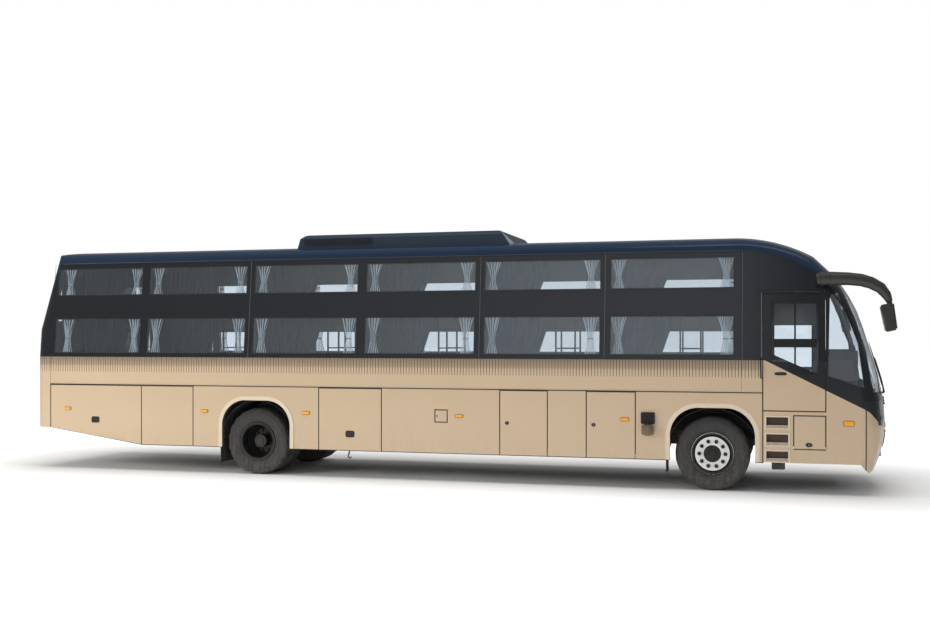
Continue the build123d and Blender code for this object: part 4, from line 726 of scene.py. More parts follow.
def lathe(bm, profile, centre, segments=48, closed=False, shape=None):
    """A form turned about the Y axis through centre, from (radius, y) points; shape may change a point."""
    x, z = centre
    rings = []
    for index in range(segments):
        turn = 2 * pi * index / segments
        ring = []
        for radius, y in profile:
            if shape:
                radius = shape(radius, y, index)
            ring.append((x + radius * cos(turn), y, z + radius * sin(turn)))
        rings.append(ring)
    rows = [[bm.verts.new(point) for point in ring] for ring in rings]
    count = len(profile)
    for row, following in zip(rows, rows[1:] + rows[:1]):
        for index in range(count if closed else count - 1):
            after = (index + 1) % count
            bm.faces.new((row[index], row[after], following[after], following[index]))
    bmesh.ops.remove_doubles(bm, verts=bm.verts, dist=1e-5)


def piece(name, bm, finish, body="coach", sharp=35.0):
    """The finished object of one piece, with its faces outwards, on the body that it moves with."""
    bmesh.ops.recalc_face_normals(bm, faces=bm.faces)
    mesh = bpy.data.meshes.new(name)
    bm.to_mesh(mesh)
    bm.free()
    for face in mesh.polygons:
        face.use_smooth = True
    mesh.set_sharp_from_angle(angle=radians(sharp))
    obj = bpy.data.objects.new(name, mesh)
    scene.collection.objects.link(obj)
    mesh.materials.clear()
    mesh.materials.append(finish)
    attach(obj, body)
    return obj


# ------------------------------------------------------------------ what repeats, in geometry nodes
def node_tree(name, inputs):
    """An empty geometry tree with named inputs (name, kind), and its way in and out."""
    tree = bpy.data.node_groups.new(name, "GeometryNodeTree")
    kinds = {"count": "NodeSocketInt", "length": "NodeSocketFloat", "vector": "NodeSocketVector",
             "finish": "NodeSocketMaterial"}
    for label, kind in inputs:
        tree.interface.new_socket(label, in_out="INPUT", socket_type=kinds[kind])
    tree.interface.new_socket("Geometry", in_out="OUTPUT", socket_type="NodeSocketGeometry")
    return tree, tree.nodes.new("NodeGroupInput").outputs, tree.nodes.new("NodeGroupOutput").inputs


def close_tree(tree, geometry, given, out):
    """Ends a geometry tree with real geometry in the finish asked for."""
    real = add(tree, "GeometryNodeRealizeInstances", {"Geometry": geometry}).outputs["Geometry"]
    done = add(tree, "GeometryNodeSetMaterial", {"Geometry": real, "Material": given["Finish"]})
    feed(tree, out["Geometry"], done.outputs["Geometry"])


# A row of like bars: the first one's place, the step to the next, their size and their turn.
bar_row, given, out = node_tree("bar_row", [("Count", "count"), ("First", "vector"), ("Step", "vector"),
                                            ("Size", "vector"), ("Turn", "vector"), ("Finish", "finish")])
line = add(bar_row, "GeometryNodeMeshLine", {"Count": given["Count"], "Start Location": given["First"],
                                             "Offset": given["Step"]}).outputs["Mesh"]
bar = add(bar_row, "GeometryNodeMeshCube", {"Size": given["Size"]}).outputs["Mesh"]
placed = add(bar_row, "GeometryNodeInstanceOnPoints", {"Points": line, "Instance": bar,
                                                       "Rotation": given["Turn"]}).outputs["Instances"]
close_tree(bar_row, placed, given, out)

# A ring of wheel nuts with their studs, about the Y axis.
nut_ring, given, out = node_tree("nut_ring", [("Count", "count"), ("Centre", "vector"), ("Circle", "length"),
                                              ("Nut", "length"), ("Height", "length"), ("Finish", "finish")])
circle = add(nut_ring, "GeometryNodeMeshCircle", {"Vertices": given["Count"],
                                                  "Radius": given["Circle"]}).outputs["Mesh"]
nut = add(nut_ring, "GeometryNodeMeshCylinder", {"Vertices": 6, "Radius": given["Nut"],
                                                 "Depth": given["Height"]}).outputs["Mesh"]
stud = add(nut_ring, "GeometryNodeMeshCylinder",
           {"Vertices": 8, "Radius": calc(nut_ring, "MULTIPLY", given["Nut"], 0.5),
            "Depth": calc(nut_ring, "MULTIPLY", given["Height"], 1.8)}).outputs["Mesh"]
joined = nut_ring.nodes.new("GeometryNodeJoinGeometry")
nut_ring.links.new(nut, joined.inputs[0])
nut_ring.links.new(stud, joined.inputs[0])
ring = add(nut_ring, "GeometryNodeInstanceOnPoints", {"Points": circle,
                                                      "Instance": joined.outputs[0]}).outputs["Instances"]
turned = add(nut_ring, "GeometryNodeTransform", {"Geometry": ring, "Translation": given["Centre"],
                                                 "Rotation": (pi / 2, 0.0, 0.0)}).outputs["Geometry"]
close_tree(nut_ring, turned, given, out)


def grown(bm, tree, finish, **values):
    """Adds to bm what a geometry tree makes from the values given for its named inputs."""
    maker = bpy.data.objects.new("maker", bpy.data.meshes.new("maker"))
    scene.collection.objects.link(maker)
    nodes_on = maker.modifiers.new("tree", "NODES")
    nodes_on.node_group = tree
    sockets = {item.name: item.identifier for item in tree.interface.items_tree if item.in_out == "INPUT"}
    for label, value in {**values, "Finish": finish}.items():
        nodes_on[sockets[label.capitalize()]] = value
    grown_mesh = bpy.data.meshes.new_from_object(
        maker.evaluated_get(bpy.context.evaluated_depsgraph_get()))
    bm.from_mesh(grown_mesh)
    maker.modifiers.remove(nodes_on)
    bpy.data.objects.remove(maker)


def bars(bm, finish, count, first, step, size, turn=(0.0, 0.0, 0.0)):
    """Adds a row of like bars to bm."""
    grown(bm, bar_row, finish, count=count, first=first, step=step, size=size, turn=turn)


# ------------------------------------------------------------------ wheels
TYRE_HALF_PROFILE = ((0.3003, 0.112), (0.318, 0.128), (0.332, 0.1325), (0.337, 0.1350), (0.342, 0.1325),
                     (0.370, 0.1425), (0.405, 0.1475), (0.436, 0.1458), (0.446, 0.1470), (0.452, 0.1440),
                     (0.476, 0.1390), (0.497, 0.1300), (0.511, 0.1190), (0.5185, 0.1080), (0.5200, 0.0880),
                     (0.5065, 0.0860), (0.5065, 0.0740), (0.5205, 0.0720), (0.5215, 0.0360),
                     (0.5080, 0.0340), (0.5080, 0.0220), (0.5220, 0.0200))
TREAD_STEPS, BLOCK_STEPS, GAP_STEPS = 100, 5, 2      # round a tyre, to a shoulder block, to the gap in it
SHOULDER_Y, SHOULDER_HALF, TREAD_FOOT, NOTCH_DEPTH = 0.105, 0.020, 0.500, 0.009


def tyre(name, body, node, axle_x, middles):
    """Tyres with sidewall rings, four grooves and notched shoulders."""
    bm = bmesh.new()

    def notched(radius, y, index):
        on_shoulder = radius > TREAD_FOOT and abs(abs(y - middle) - SHOULDER_Y) < SHOULDER_HALF
        return radius - NOTCH_DEPTH if on_shoulder and index % BLOCK_STEPS < GAP_STEPS else radius

    for middle in middles:
        outer = [(radius, middle + y) for radius, y in TYRE_HALF_PROFILE]
        inner = [(radius, middle - y) for radius, y in reversed(TYRE_HALF_PROFILE)]
        lathe(bm, outer + inner, (axle_x, WHEEL_RADIUS), TREAD_STEPS, closed=True, shape=notched)
    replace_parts(piece(name, bm, TYRE_RUBBER, body, sharp=28.0), node)


FLANGE_OFF = 0.1295           # from the middle of a wheel to the edge of its rim


def rim_edge(name, body, axle_x, wheel_y, side, lip_radii, finish):
    """The rolled edge of a rim."""
    bm = bmesh.new()
    radii, offs = (*lip_radii, 0.2998, 0.2995), (0.0, 0.0035, 0.0045, 0.001, 0.0)
    lathe(bm, [(radius, side * (wheel_y + FLANGE_OFF + off)) for radius, off in zip(radii, offs)],
          (axle_x, WHEEL_RADIUS), 72, closed=True)
    piece(name, bm, finish, body)


for side, word in SIDE_NAMES.items():
    front_body, rear_body = "front_wheel_" + word, "rear_wheels_" + word
    tyre("tyre_front_" + word, front_body, "front_tyre_" + word, FRONT_AXLE_X, (side * FRONT_TRACK_Y,))
    tyre("tyres_rear_" + word, rear_body, "rear_tyres_" + word, REAR_AXLE_X,
         (side * REAR_OUTER_Y, side * (REAR_OUTER_Y - TWIN_SPACING)))
    disc_y = FRONT_TRACK_Y + 0.130
    bm = bmesh.new()
    lathe(bm, [(0.1215, side * (disc_y + 0.0005)), (0.1215, side * (disc_y + 0.005)),
               (0.150, side * (disc_y + 0.008)), (0.236, side * (disc_y + 0.008)),
               (0.2415, side * (disc_y + 0.003)), (0.2415, side * (disc_y - 0.010)),
               (0.236, side * (disc_y - 0.010)), (0.234, side * (disc_y + 0.0005))],
          (FRONT_AXLE_X, WHEEL_RADIUS), 64, closed=True)
    piece("wheel_ring_" + word, bm, RING_WHITE, front_body)
    bm = bmesh.new()
    grown(bm, nut_ring, RIM_BLACK, count=10, centre=(FRONT_AXLE_X, side * (disc_y + 0.016), WHEEL_RADIUS),
          circle=0.1800, nut=0.0295, height=0.026)
    lathe(bm, [(0.0, side * (disc_y + 0.046)), (0.052, side * (disc_y + 0.045)),
               (0.062, side * (disc_y + 0.036)), (0.064, side * (disc_y + 0.0205)),
               (0.098, side * (disc_y + 0.0203))], (FRONT_AXLE_X, WHEEL_RADIUS), 40)
    grown(bm, nut_ring, RIM_BLACK, count=8, centre=(FRONT_AXLE_X, side * (disc_y + 0.024), WHEEL_RADIUS),
          circle=0.083, nut=0.007, height=0.008)
    piece("wheel_nuts_" + word, bm, RIM_BLACK, front_body)
    rim_edge("rim_edge_" + word, front_body, FRONT_AXLE_X, FRONT_TRACK_Y, side, (0.2905, 0.2925, 0.2975),
             BRIGHT_STEEL)
    rim_edge("rim_edge_rear_" + word, rear_body, REAR_AXLE_X, REAR_OUTER_Y, side, (0.2860, 0.2890, 0.2960),
             CAST_IRON)
    dish_y = REAR_OUTER_Y - TWIN_SPACING / 2 + 0.014
    bm = bmesh.new()
    grown(bm, nut_ring, RIM_BLACK, count=10, centre=(REAR_AXLE_X, side * (dish_y + 0.014), WHEEL_RADIUS),
          circle=0.1675, nut=0.022, height=0.030)
    grown(bm, nut_ring, RIM_BLACK, count=8,
          centre=(REAR_AXLE_X, side * (REAR_OUTER_Y + 0.0325), WHEEL_RADIUS), circle=0.080, nut=0.009,
          height=0.009)
    lathe(bm, [(0.0, side * (REAR_OUTER_Y + 0.040)), (0.055, side * (REAR_OUTER_Y + 0.038)),
               (0.060, side * (REAR_OUTER_Y + 0.0278)), (0.098, side * (REAR_OUTER_Y + 0.0278))],
          (REAR_AXLE_X, WHEEL_RADIUS), 40)
    piece("hub_studs_" + word, bm, CAST_IRON, rear_body)


# ------------------------------------------------------------------ lines along the sides
MOULDING_REAR_X, MOULDING_FRONT_X = REAR_X + 0.315, 5.000
GLASS_JOINTS = (-2.854, 0.935, 2.813, CAP_X + 0.012)         # grey strips between panes
PANEL_SEAM_X, TAIL_PANEL_X = -3.817, -6.475


def half_round(bm, x0, x1, z, side, height, proud):
    """A long moulding of rounded section on the side."""
    section = [(-0.5, 0.0), (-0.42, 0.62), (-0.2, 0.94), (0.0, 1.0), (0.2, 0.94), (0.42, 0.62), (0.5, 0.0)]
    rings = [[(x, side * (side_y(z) - 0.001 + out * proud), z + up * height) for up, out in section]
             for x in (x0, x1)]
    loft(bm, rings)


for side, word in SIDE_NAMES.items():
    bm = bmesh.new()
    half_round(bm, MOULDING_REAR_X, MOULDING_FRONT_X, RUB_Z + 0.013, side, 0.020, 0.007)
    piece("rub_moulding_" + word, bm, PAINT)
    # Black strips: painted shadow under the rub moulding and painted shade in the panel seams.
    bm = bmesh.new()
    side_plate(bm, rectangle(MOULDING_REAR_X, MOULDING_FRONT_X, RUB_Z - 0.002, RUB_Z + 0.003), side, 0.0012)
    side_plate(bm, rectangle(PANEL_SEAM_X - 0.0025, PANEL_SEAM_X + 0.0025, SKIRT_Z + 0.01, RUB_Z), side, 0.0006)
    for seam_x in (TAIL_PANEL_X, CAP_X):
        side_plate(bm, rectangle(seam_x - 0.002, seam_x + 0.002, RUB_Z, BELT_Z), side, 0.0006)
        side_plate(bm, rectangle(seam_x - 0.002, seam_x + 0.002, BELT_Z, GUTTER_Z), side, 0.0006)
    piece("seam_shade_strips_" + word, bm, BLACK_PLASTIC)
    bm = bmesh.new()
    rail = [(0.0, 0.0), (0.010, 0.001), (0.012, 0.010), (0.009, 0.011), (0.007, 0.004), (0.0, 0.006)]
    loft(bm, [[(x, side * (side_y(GUTTER_Z) - 0.001 + out), GUTTER_Z - 0.004 + up) for out, up in rail]
              for x in (REAR_X + 0.45, CAP_X + 0.02)])
    piece("gutter_rail_" + word, bm, UNIT_PAINT)
    bm = bmesh.new()
    for joint_x in GLASS_JOINTS:
        side_plate(bm, rectangle(joint_x - 0.003, joint_x + 0.003, BELT_Z + 0.012, GUTTER_Z - 0.02), side,
                   0.0012)
    piece("glass_joints_" + word, bm, JOINT_GREY)
    bm = bmesh.new()
    for bay_front, width in WINDOW_BAYS:
        for base_z, height in WINDOW_ROWS:
            x0, x1, z0, z1 = bay_front - width, bay_front, base_z, base_z + height
            outer = rectangle(x0 - 0.004, x1 + 0.004, z0 - 0.004, z1 + 0.004)
            inner = rectangle(x0 + 0.010, x1 - 0.010, z0 + 0.010, z1 - 0.010)
            side_frame(bm, side, ((outer, 0.0003), (outer, 0.0022), (inner, 0.0022), (inner, 0.0003)))
    piece("window_seals_" + word, bm, RUBBER)

# ------------------------------------------------------------------ locks, latches and marker lamps
MARKER_Z = 0.990


def paddle_latch(name, body, x, z, side):
    """A latch's tray with its lift handle and its button."""
    bm = bmesh.new()
    side_plate(bm, oval(x, z, 0.075, 0.052, 28, 5.0), side, 0.003)
    side_plate(bm, oval(x, z + 0.010, 0.055, 0.026, 24, 4.0), side, 0.013)
    side_plate(bm, oval(x - 0.040, z - 0.030, 0.012, 0.012, 14), side, 0.008)
    piece(name, bm, BLACK_PLASTIC, body)


def round_lock(name, body, x, z, side, radius=0.031, wide=1.0):
    """A stepped lock with a bright key slot."""
    bm = bmesh.new()
    side_plate(bm, oval(x, z, radius * wide, radius * 0.85, 24), side, 0.006)
    side_plate(bm, oval(x, z, radius * 0.62 * wide, radius * 0.50, 18), side, 0.010)
    piece(name, bm, GLOSS_BLACK, body)
    bm = bmesh.new()
    side_plate(bm, oval(x, z, radius * 0.20, radius * 0.20, 12), side, 0.0108, -0.0102)
    piece(name + "_key", bm, BRIGHT_STEEL, body)


def marker(name, body, x, side, half_x=0.058, z=MARKER_Z, half_z=0.0215):
    """The base and the amber lens of a side marker lamp."""
    bm = bmesh.new()
    side_plate(bm, oval(x, z, half_x + 0.006, half_z + 0.005, 32, 5.0), side, 0.006)
    base = piece(name + "_base", bm, BLACK_PLASTIC, body)
    bm = bmesh.new()
    side_plate(bm, oval(x, z, half_x, half_z, 32, 5.0), side, 0.0135)
    lens = piece(name, bm, LENS_AMBER, body)
    return base, lens


for side, word in SIDE_NAMES.items():
    paddle_latch("latch_rear_" + word, "flap_rear_" + word, -5.613, 0.815, side)
    paddle_latch("latch_mid_" + word, "flap_mid_" + word, -1.117, 0.680, side)
    marker("marker_flap_" + word, "flap_rear_" + word, -6.138, side)
    for number, x in enumerate((-3.611, -1.851, 0.632)):
        for made in marker("marker_%d_%s" % (number, word), "coach", x, side):
            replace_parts(made, "lamps")
marker("marker_bay", "bay_fore_right", 3.109, RIGHT)
round_lock("lock_bay_aft", "bay_aft_right", 1.371, 0.901, RIGHT)
round_lock("lock_bay_fore", "bay_fore_right", 2.660, 0.902, RIGHT)
round_lock("lock_fuel", "fuel_right", 0.285, 0.985, RIGHT, 0.010)
round_lock("lock_locker", "locker_right", 5.646, 0.687, RIGHT, 0.034, 1.35)

# ------------------------------------------------------------------ driver's door and steps
DRIVER_WINDOW = ((5.154, 1.714), (5.766, 1.640), (5.766, 2.660), (5.154, 2.660))
DRIVER_BARS = ((5.172, 5.748, 2.030, 2.148), (5.450, 5.474, 2.148, 2.642), (5.450, 5.474, 1.740, 2.030))
ENTRY_WINDOW = ((5.154, 0.700), (5.766, 0.700), (5.766, 2.660), (5.154, 2.660))
ENTRY_BARS = ((5.172, 5.748, 1.640, 1.700),)


def door_frame(bm, side, window, bars_at):
    """The frame round a door's window, with its cross bars."""
    middle_x = sum(x for x, z in window) / 4
    middle_z = sum(z for x, z in window) / 4

    def shrunk(amount):
        return [(x + (amount if x < middle_x else -amount), z + (amount if z < middle_z else -amount))
                for x, z in window]

    outer, inner = shrunk(-0.012), shrunk(0.022)
    side_frame(bm, side, ((outer, -0.0012), (outer, 0.003), (inner, 0.003), (inner, 0.0003)))
    for x0, x1, z0, z1 in bars_at:
        side_plate(bm, rectangle(x0, x1, z0, z1), side, 0.0035, -0.0003)


bm = bmesh.new()
door_frame(bm, RIGHT, DRIVER_WINDOW, DRIVER_BARS)
piece("driver_window_frame", bm, BLACK_PLASTIC, "driver_door")
bm = bmesh.new()
side_plate(bm, [(5.132, 1.690), (5.788, 1.615), (5.788, 1.650), (5.132, 1.948)], RIGHT, 0.0055, -0.0038)
piece("driver_door_cheek", bm, PAINT, "driver_door")
bm = bmesh.new()
door_frame(bm, LEFT, ENTRY_WINDOW, ENTRY_BARS)
piece("entry_window_frame", bm, BLACK_PLASTIC, "entry_door")
for side, body, x, z in ((RIGHT, "driver_door", 5.270, 1.665), (LEFT, "entry_door", 5.090, 1.250)):
    bm = bmesh.new()
    surface = side_y(z)
    side_plate(bm, oval(x, z, 0.082, 0.022, 28, 3.0), side, 0.008, -0.0065)
    tube(bm, [(x - 0.062, side * (surface + 0.002), z), (x - 0.055, side * (surface + 0.022), z),
              (x, side * (surface + 0.030), z), (x + 0.055, side * (surface + 0.022), z),
              (x + 0.062, side * (surface + 0.002), z)], 0.0095, 10)
    piece("handle_" + body, bm, GLOSS_BLACK, body)

bm = bmesh.new()
top_y = side_y(2.800)
drip = [(4.955, 2.770), (4.970, 2.795), (5.010, 2.806), (5.400, 2.812), (5.780, 2.806), (5.830, 2.790)]
tube(bm, [(x, -(top_y + 0.004), z) for x, z in drip], [0.006, 0.011, 0.012, 0.012, 0.011, 0.006], 10)
bar_top, bar_low = 1.880, 1.600
tube(bm, [(5.010, -(HALF_WIDTH - 0.004), bar_top), (5.004, -(HALF_WIDTH + 0.030), bar_top - 0.020),
          (5.004, -(HALF_WIDTH + 0.036), (bar_top + bar_low) / 2),
          (5.004, -(HALF_WIDTH + 0.030), bar_low + 0.020), (5.010, -(HALF_WIDTH - 0.002), bar_low)],
     0.0105, 12)
piece("door_trim", bm, GLOSS_BLACK)
bm = bmesh.new()
side_plate(bm, rectangle(5.008, 5.020, BELT_Z + 0.02, DOOR_TOP_Z), RIGHT, 0.004)
piece("pillar_strip", bm, BRIGHT_STEEL)

STEP_POCKETS = ((0.449, 0.588), (0.671, 0.824), (0.908, 1.061))         # low z, high z
STEPS_REAR_X, STEPS_FRONT_X = 5.077, 5.371
STEP_MOUTH_Y, STEP_BACK_Y = -1.268, -1.128
tread_x0, tread_x1 = STEPS_REAR_X + 0.001, STEPS_FRONT_X - 0.001
bm_tread, bm_liner, bm_lip = bmesh.new(), bmesh.new(), bmesh.new()
for low_z, high_z in STEP_POCKETS:
    foot_z, head_z = low_z + 0.001, high_z - 0.001
    block(bm_tread, (tread_x0, STEP_MOUTH_Y, foot_z), (tread_x1, -1.129, low_z + 0.012))
    bars(bm_tread, STEP_PLATE, 14, (STEPS_REAR_X + 0.018, -1.197, low_z + 0.014), (0.0198, 0, 0),
         (0.007, 0.120, 0.006))
    block(bm_tread, (tread_x0, -1.273, foot_z), (tread_x1, -1.262, low_z + 0.042))
    block(bm_liner, (tread_x0, STEP_BACK_Y, foot_z), (tread_x1, -1.126, head_z))
    for x in (STEPS_REAR_X + 0.0006, STEPS_FRONT_X - 0.0026):
        block(bm_liner, (x, STEP_MOUTH_Y, foot_z), (x + 0.002, STEP_BACK_Y, head_z))
    block(bm_liner, (tread_x0, STEP_MOUTH_Y, high_z - 0.003), (tread_x1, STEP_BACK_Y, head_z))
    outer = rectangle(STEPS_REAR_X - 0.022, STEPS_FRONT_X + 0.022, low_z - 0.016, high_z + 0.016)
    inner = rectangle(STEPS_REAR_X, STEPS_FRONT_X, low_z, high_z)
    loft(bm_lip, [[(x, -(HALF_WIDTH + proud), z) for x, z in ring]
                  for ring, proud in ((outer, 0.0003), (outer, 0.007), (inner, 0.007), (inner, -0.010))],
         capped=False)
piece("step_treads", bm_tread, STEP_PLATE)
piece("step_liners", bm_liner, STEP_BROWN)
piece("step_lips", bm_lip, LIP_PAINT)

# ------------------------------------------------------------------ mirrors
HORN_PATH = ((5.745, 2.962), (5.800, 2.970), (5.940, 2.972), (6.150, 2.966), (6.320, 2.946), (6.450, 2.905),
             (6.568, 2.836), (6.642, 2.742), (6.676, 2.665), (6.684, 2.622))
HORN_RADII = (0.074, 0.092, 0.094, 0.088, 0.086, 0.082, 0.076, 0.064, 0.046, 0.030)
MIRROR_HEAD = ((6.560, 2.603), (6.729, 2.640), (6.779, 2.270), (6.632, 2.237))
HORN_Y = 1.326
HEAD_INNER_Y, HEAD_OUTER_Y = 1.195, 1.425
LEFT_SETBACK = 0.410          # the left mirror hangs further back
for side, word, back in ((RIGHT, "right", 0.0), (LEFT, "left", LEFT_SETBACK)):
    bm = bmesh.new()
    tube(bm, [(x - back, side * HORN_Y, z) for x, z in HORN_PATH], list(HORN_RADII), 20)
    for seam_x in (5.790, 5.850, 5.910):
        tube(bm, [(seam_x + off - back, side * HORN_Y, 2.971) for off in (0.0, 0.003, 0.009, 0.012)],
             [0.092, 0.098, 0.098, 0.092], 24)
    tube(bm, [(5.825 - back, side * HORN_Y, 2.975), (5.825 - back, side * 1.250, 2.974),
              (5.825 - back, side * 1.130, 2.972)], [0.082, 0.074, 0.078], 16)
    rounded = bmesh.new()
    prism(rounded, [(x - back, z) for x, z in MIRROR_HEAD], side * HEAD_INNER_Y, side * HEAD_OUTER_Y)
    bmesh.ops.recalc_face_normals(rounded, faces=rounded.faces)
    bmesh.ops.bevel(rounded, geom=list(rounded.edges), offset=0.020, segments=3, affect="EDGES")
    head_mesh = bpy.data.meshes.new("head")
    rounded.to_mesh(head_mesh)
    rounded.free()
    bm.from_mesh(head_mesh)
    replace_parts(piece("mirror_" + word, bm, MIRROR_BRONZE, sharp=50.0), "mirrors")
    bm = bmesh.new()
    (top_x, top_z), (low_x, low_z) = MIRROR_HEAD[0], MIRROR_HEAD[3]
    face = [(top_x + share * (low_x - top_x) - back - 0.0006, side * y, top_z + share * (low_z - top_z))
            for y, share in ((1.228, 0.10), (1.392, 0.10), (1.392, 0.90), (1.228, 0.90))]
    loft(bm, [face, [(x + 0.004, y, z) for x, y, z in face]])
    piece("mirror_glass_" + word, bm, SILVERED)

# ------------------------------------------------------------------ wipers, front and rear fittings
bm = bmesh.new()
for foot_y, blade_y in ((-0.620, -0.300), (0.320, 0.640)):
    path = []
    for share in (0.0, 0.12, 0.4, 0.7, 1.0):
        y, z = foot_y + share * (blade_y - foot_y), 1.400 + share * 0.480
        path.append((nose_x(y, z) + 0.030, y, z))
    tube(bm, [(nose_x(foot_y, 1.39) + 0.004, foot_y, 1.390), path[0]], 0.016, 12)
    tube(bm, path, [0.015, 0.012, 0.009, 0.007, 0.006], 8)
    blade = []
    for share in (0.0, 0.25, 0.5, 0.75, 1.0):
        z = 1.480 + share * 0.620
        blade.append((nose_x(blade_y, z) + 0.014, blade_y, z))
    tube(bm, blade, [0.004, 0.008, 0.010, 0.008, 0.004], 6)
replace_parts(piece("wiper_arms", bm, BLACK_PLASTIC), "wipers")

bm = bmesh.new()
plate_x = nose_x(0.26, 0.520) - 0.004
block(bm, (plate_x, -0.265, 0.455), (plate_x + 0.014, 0.265, 0.585), 0.003)
piece("plate_frame_front", bm, BLACK_PLASTIC)
bm = bmesh.new()
block(bm, (plate_x + 0.0135, -0.255, 0.465), (plate_x + 0.0160, 0.255, 0.575))
piece("plate_front", bm, PLATE_WHITE)
for word, reach, low_z, rows in (("low", 0.560, 0.640, 6), ("high", 0.520, 1.230, 3)):
    bm = bmesh.new()
    for row in range(rows):
        z = low_z + 0.040 * row
        points = [(nose_x(y, z) + 0.004, y, z) for y in (reach * k / 8 for k in range(-8, 9))]
        tube(bm, points, 0.010, 8)
    piece("grille_" + word, bm, GLOSS_BLACK)

bm = bmesh.new()
block(bm, (REAR_X + 0.0003, -0.265, 0.935), (REAR_X + 0.010, 0.265, 1.065), 0.003)
piece("plate_frame_rear", bm, BLACK_PLASTIC)
bm = bmesh.new()
block(bm, (REAR_X + 0.0001, -0.255, 0.945), (REAR_X + 0.0008, 0.255, 1.055))
piece("plate_rear", bm, PLATE_WHITE)


# ------------------------------------------------------------------ lamps
def loose_solids(node):
    """The separate solids of a construction node, each as a bmesh of its own."""
    whole = bmesh.new()
    whole.from_mesh(nodes[node].data)
    bmesh.ops.remove_doubles(whole, verts=whole.verts, dist=1e-5)
    left = dict.fromkeys(whole.verts)        # not a set, whose order changes from run to run
    found = []
    while left:
        start = next(iter(left))
        del left[start]
        island, queue = {start: None}, [start]
        while queue:
            for edge in queue.pop().link_edges:
                for vert in edge.verts:
                    if vert in left:
                        del left[vert]
                        island[vert] = None
                        queue.append(vert)
        one = bmesh.new()
        table = {vert: one.verts.new(vert.co) for vert in island}
        for face in dict.fromkeys(face for vert in island for face in vert.link_faces):
            one.faces.new([table[vert] for vert in face.verts])
        found.append(one)
    whole.free()
    return found


def split_lamp(solid, outward):
    """The outer faces of a lamp's solid, and the rest as its housing."""
    shell, tub = bmesh.new(), bmesh.new()
    for face in solid.faces:
        target = shell if face.normal.dot(outward) > 0.25 else tub
        target.faces.new([target.verts.new(vert.co) for vert in face.verts])
    for part in (shell, tub):
        bmesh.ops.remove_doubles(part, verts=part.verts, dist=1e-5)
    return shell, tub


def bowl(bm, centre, radius, depth, along):
    """A reflector bowl that opens along a direction."""
    along = Vector(along).normalized()
    side_way = along.orthogonal().normalized()
    other = along.cross(side_way)
    turns = [2 * pi * k / 28 for k in range(28)]
    rings = []
    for share in (1.0, 0.92, 0.75, 0.5, 0.25, 0.06):
        back = depth * (1 - share * share)
        rings.append([Vector(centre) - along * back
                      + radius * share * (cos(turn) * side_way + sin(turn) * other) for turn in turns])
    rows = loft(bm, rings, capped=False)
    bm.faces.new(rows[-1])


def lamp_kind(middle):
    """Which lamp a solid is, from its middle."""
    if abs(middle.y) > 1.27:
        return "marker" if middle.x < 5.0 else "turn"
    if middle.x < 0:
        return "tail"
    return "head" if middle.z > 0.85 else "fog"


# Kind, side and the number in the pieces' names. The side markers are made above.
LAMPS = (("fog", RIGHT, 0), ("head", LEFT, 1), ("tail", RIGHT, 2), ("head", RIGHT, 3), ("fog", LEFT, 4),
         ("turn", LEFT, None), ("tail", LEFT, 9), ("turn", RIGHT, None))
lamp_solids = {}
for solid in loose_solids("lamps"):
    middle = sum((vert.co for vert in solid.verts), Vector()) / len(solid.verts)
    lamp_solids[lamp_kind(middle), LEFT if middle.y > 0 else RIGHT] = (solid, middle)
for kind, side, number in LAMPS:
    solid, middle = lamp_solids[kind, side]
    if kind == "turn":
        for made in marker("turn_lamp_" + SIDE_NAMES[side], "coach", middle.x, side, 0.068, half_z=0.034):
            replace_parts(made, "lamps")
        continue
    bmesh.ops.recalc_face_normals(solid, faces=solid.faces)
    outward = Vector((-1.0 if kind == "tail" else 1.0, 0, 0))
    shell, tub = split_lamp(solid, outward)
    word = "%s_%d" % (SIDE_NAMES[side], number)
    finish = LENS_RED if kind == "tail" else LENS_SMOKED
    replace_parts(piece("lamp_lens_" + word, shell, finish), "lamps")
    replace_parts(piece("lamp_housing_" + word, tub, GLOSS_BLACK), "lamps")
    bm = bmesh.new()
    if kind == "tail":
        for z in (1.40, 1.52, 1.64, 1.76):
            bowl(bm, (REAR_X + 0.012, side * 0.995, z), 0.048, 0.022, outward)
    elif kind == "head":
        for y, z in ((0.800, 1.030), (0.925, 1.040), (1.050, 1.055)):
            bowl(bm, (nose_x(y, z) - 0.012, side * y, z), 0.054, 0.024, outward)
    else:
        bowl(bm, (nose_x(0.9, 0.74) - 0.010, side * 0.900, 0.740), 0.045, 0.024, outward)
    piece("reflectors_" + word, bm, BRIGHT_STEEL)

# ------------------------------------------------------------------ roof unit
AC_FRONT_X, AC_TOP_Z, AC_HALF = 1.375, 3.800, 0.900
LOUVRE_REAR_X, LOUVRE_FRONT_X = -2.040, -0.900
LOUVRE_LOW_Z, LOUVRE_TOP_Z = 3.628, 3.738
LOUVRE_ROWS = (3.642, 3.670, 3.698, 3.726)
LOUVRE_RAILS = (LOUVRE_LOW_Z, 3.656, 3.684, 3.712, LOUVRE_TOP_Z)
SLAT_PITCH = 0.032
slat_count = int((LOUVRE_FRONT_X - LOUVRE_REAR_X) / SLAT_PITCH)


def unit_strip(bm, side, x0, x1, z0, z1, proud):
    """A flat strip on one side of the roof unit."""
    y0, y1 = sorted((side * AC_HALF, side * (AC_HALF + proud)))
    block(bm, (x0, y0, z0), (x1, y1, z1))


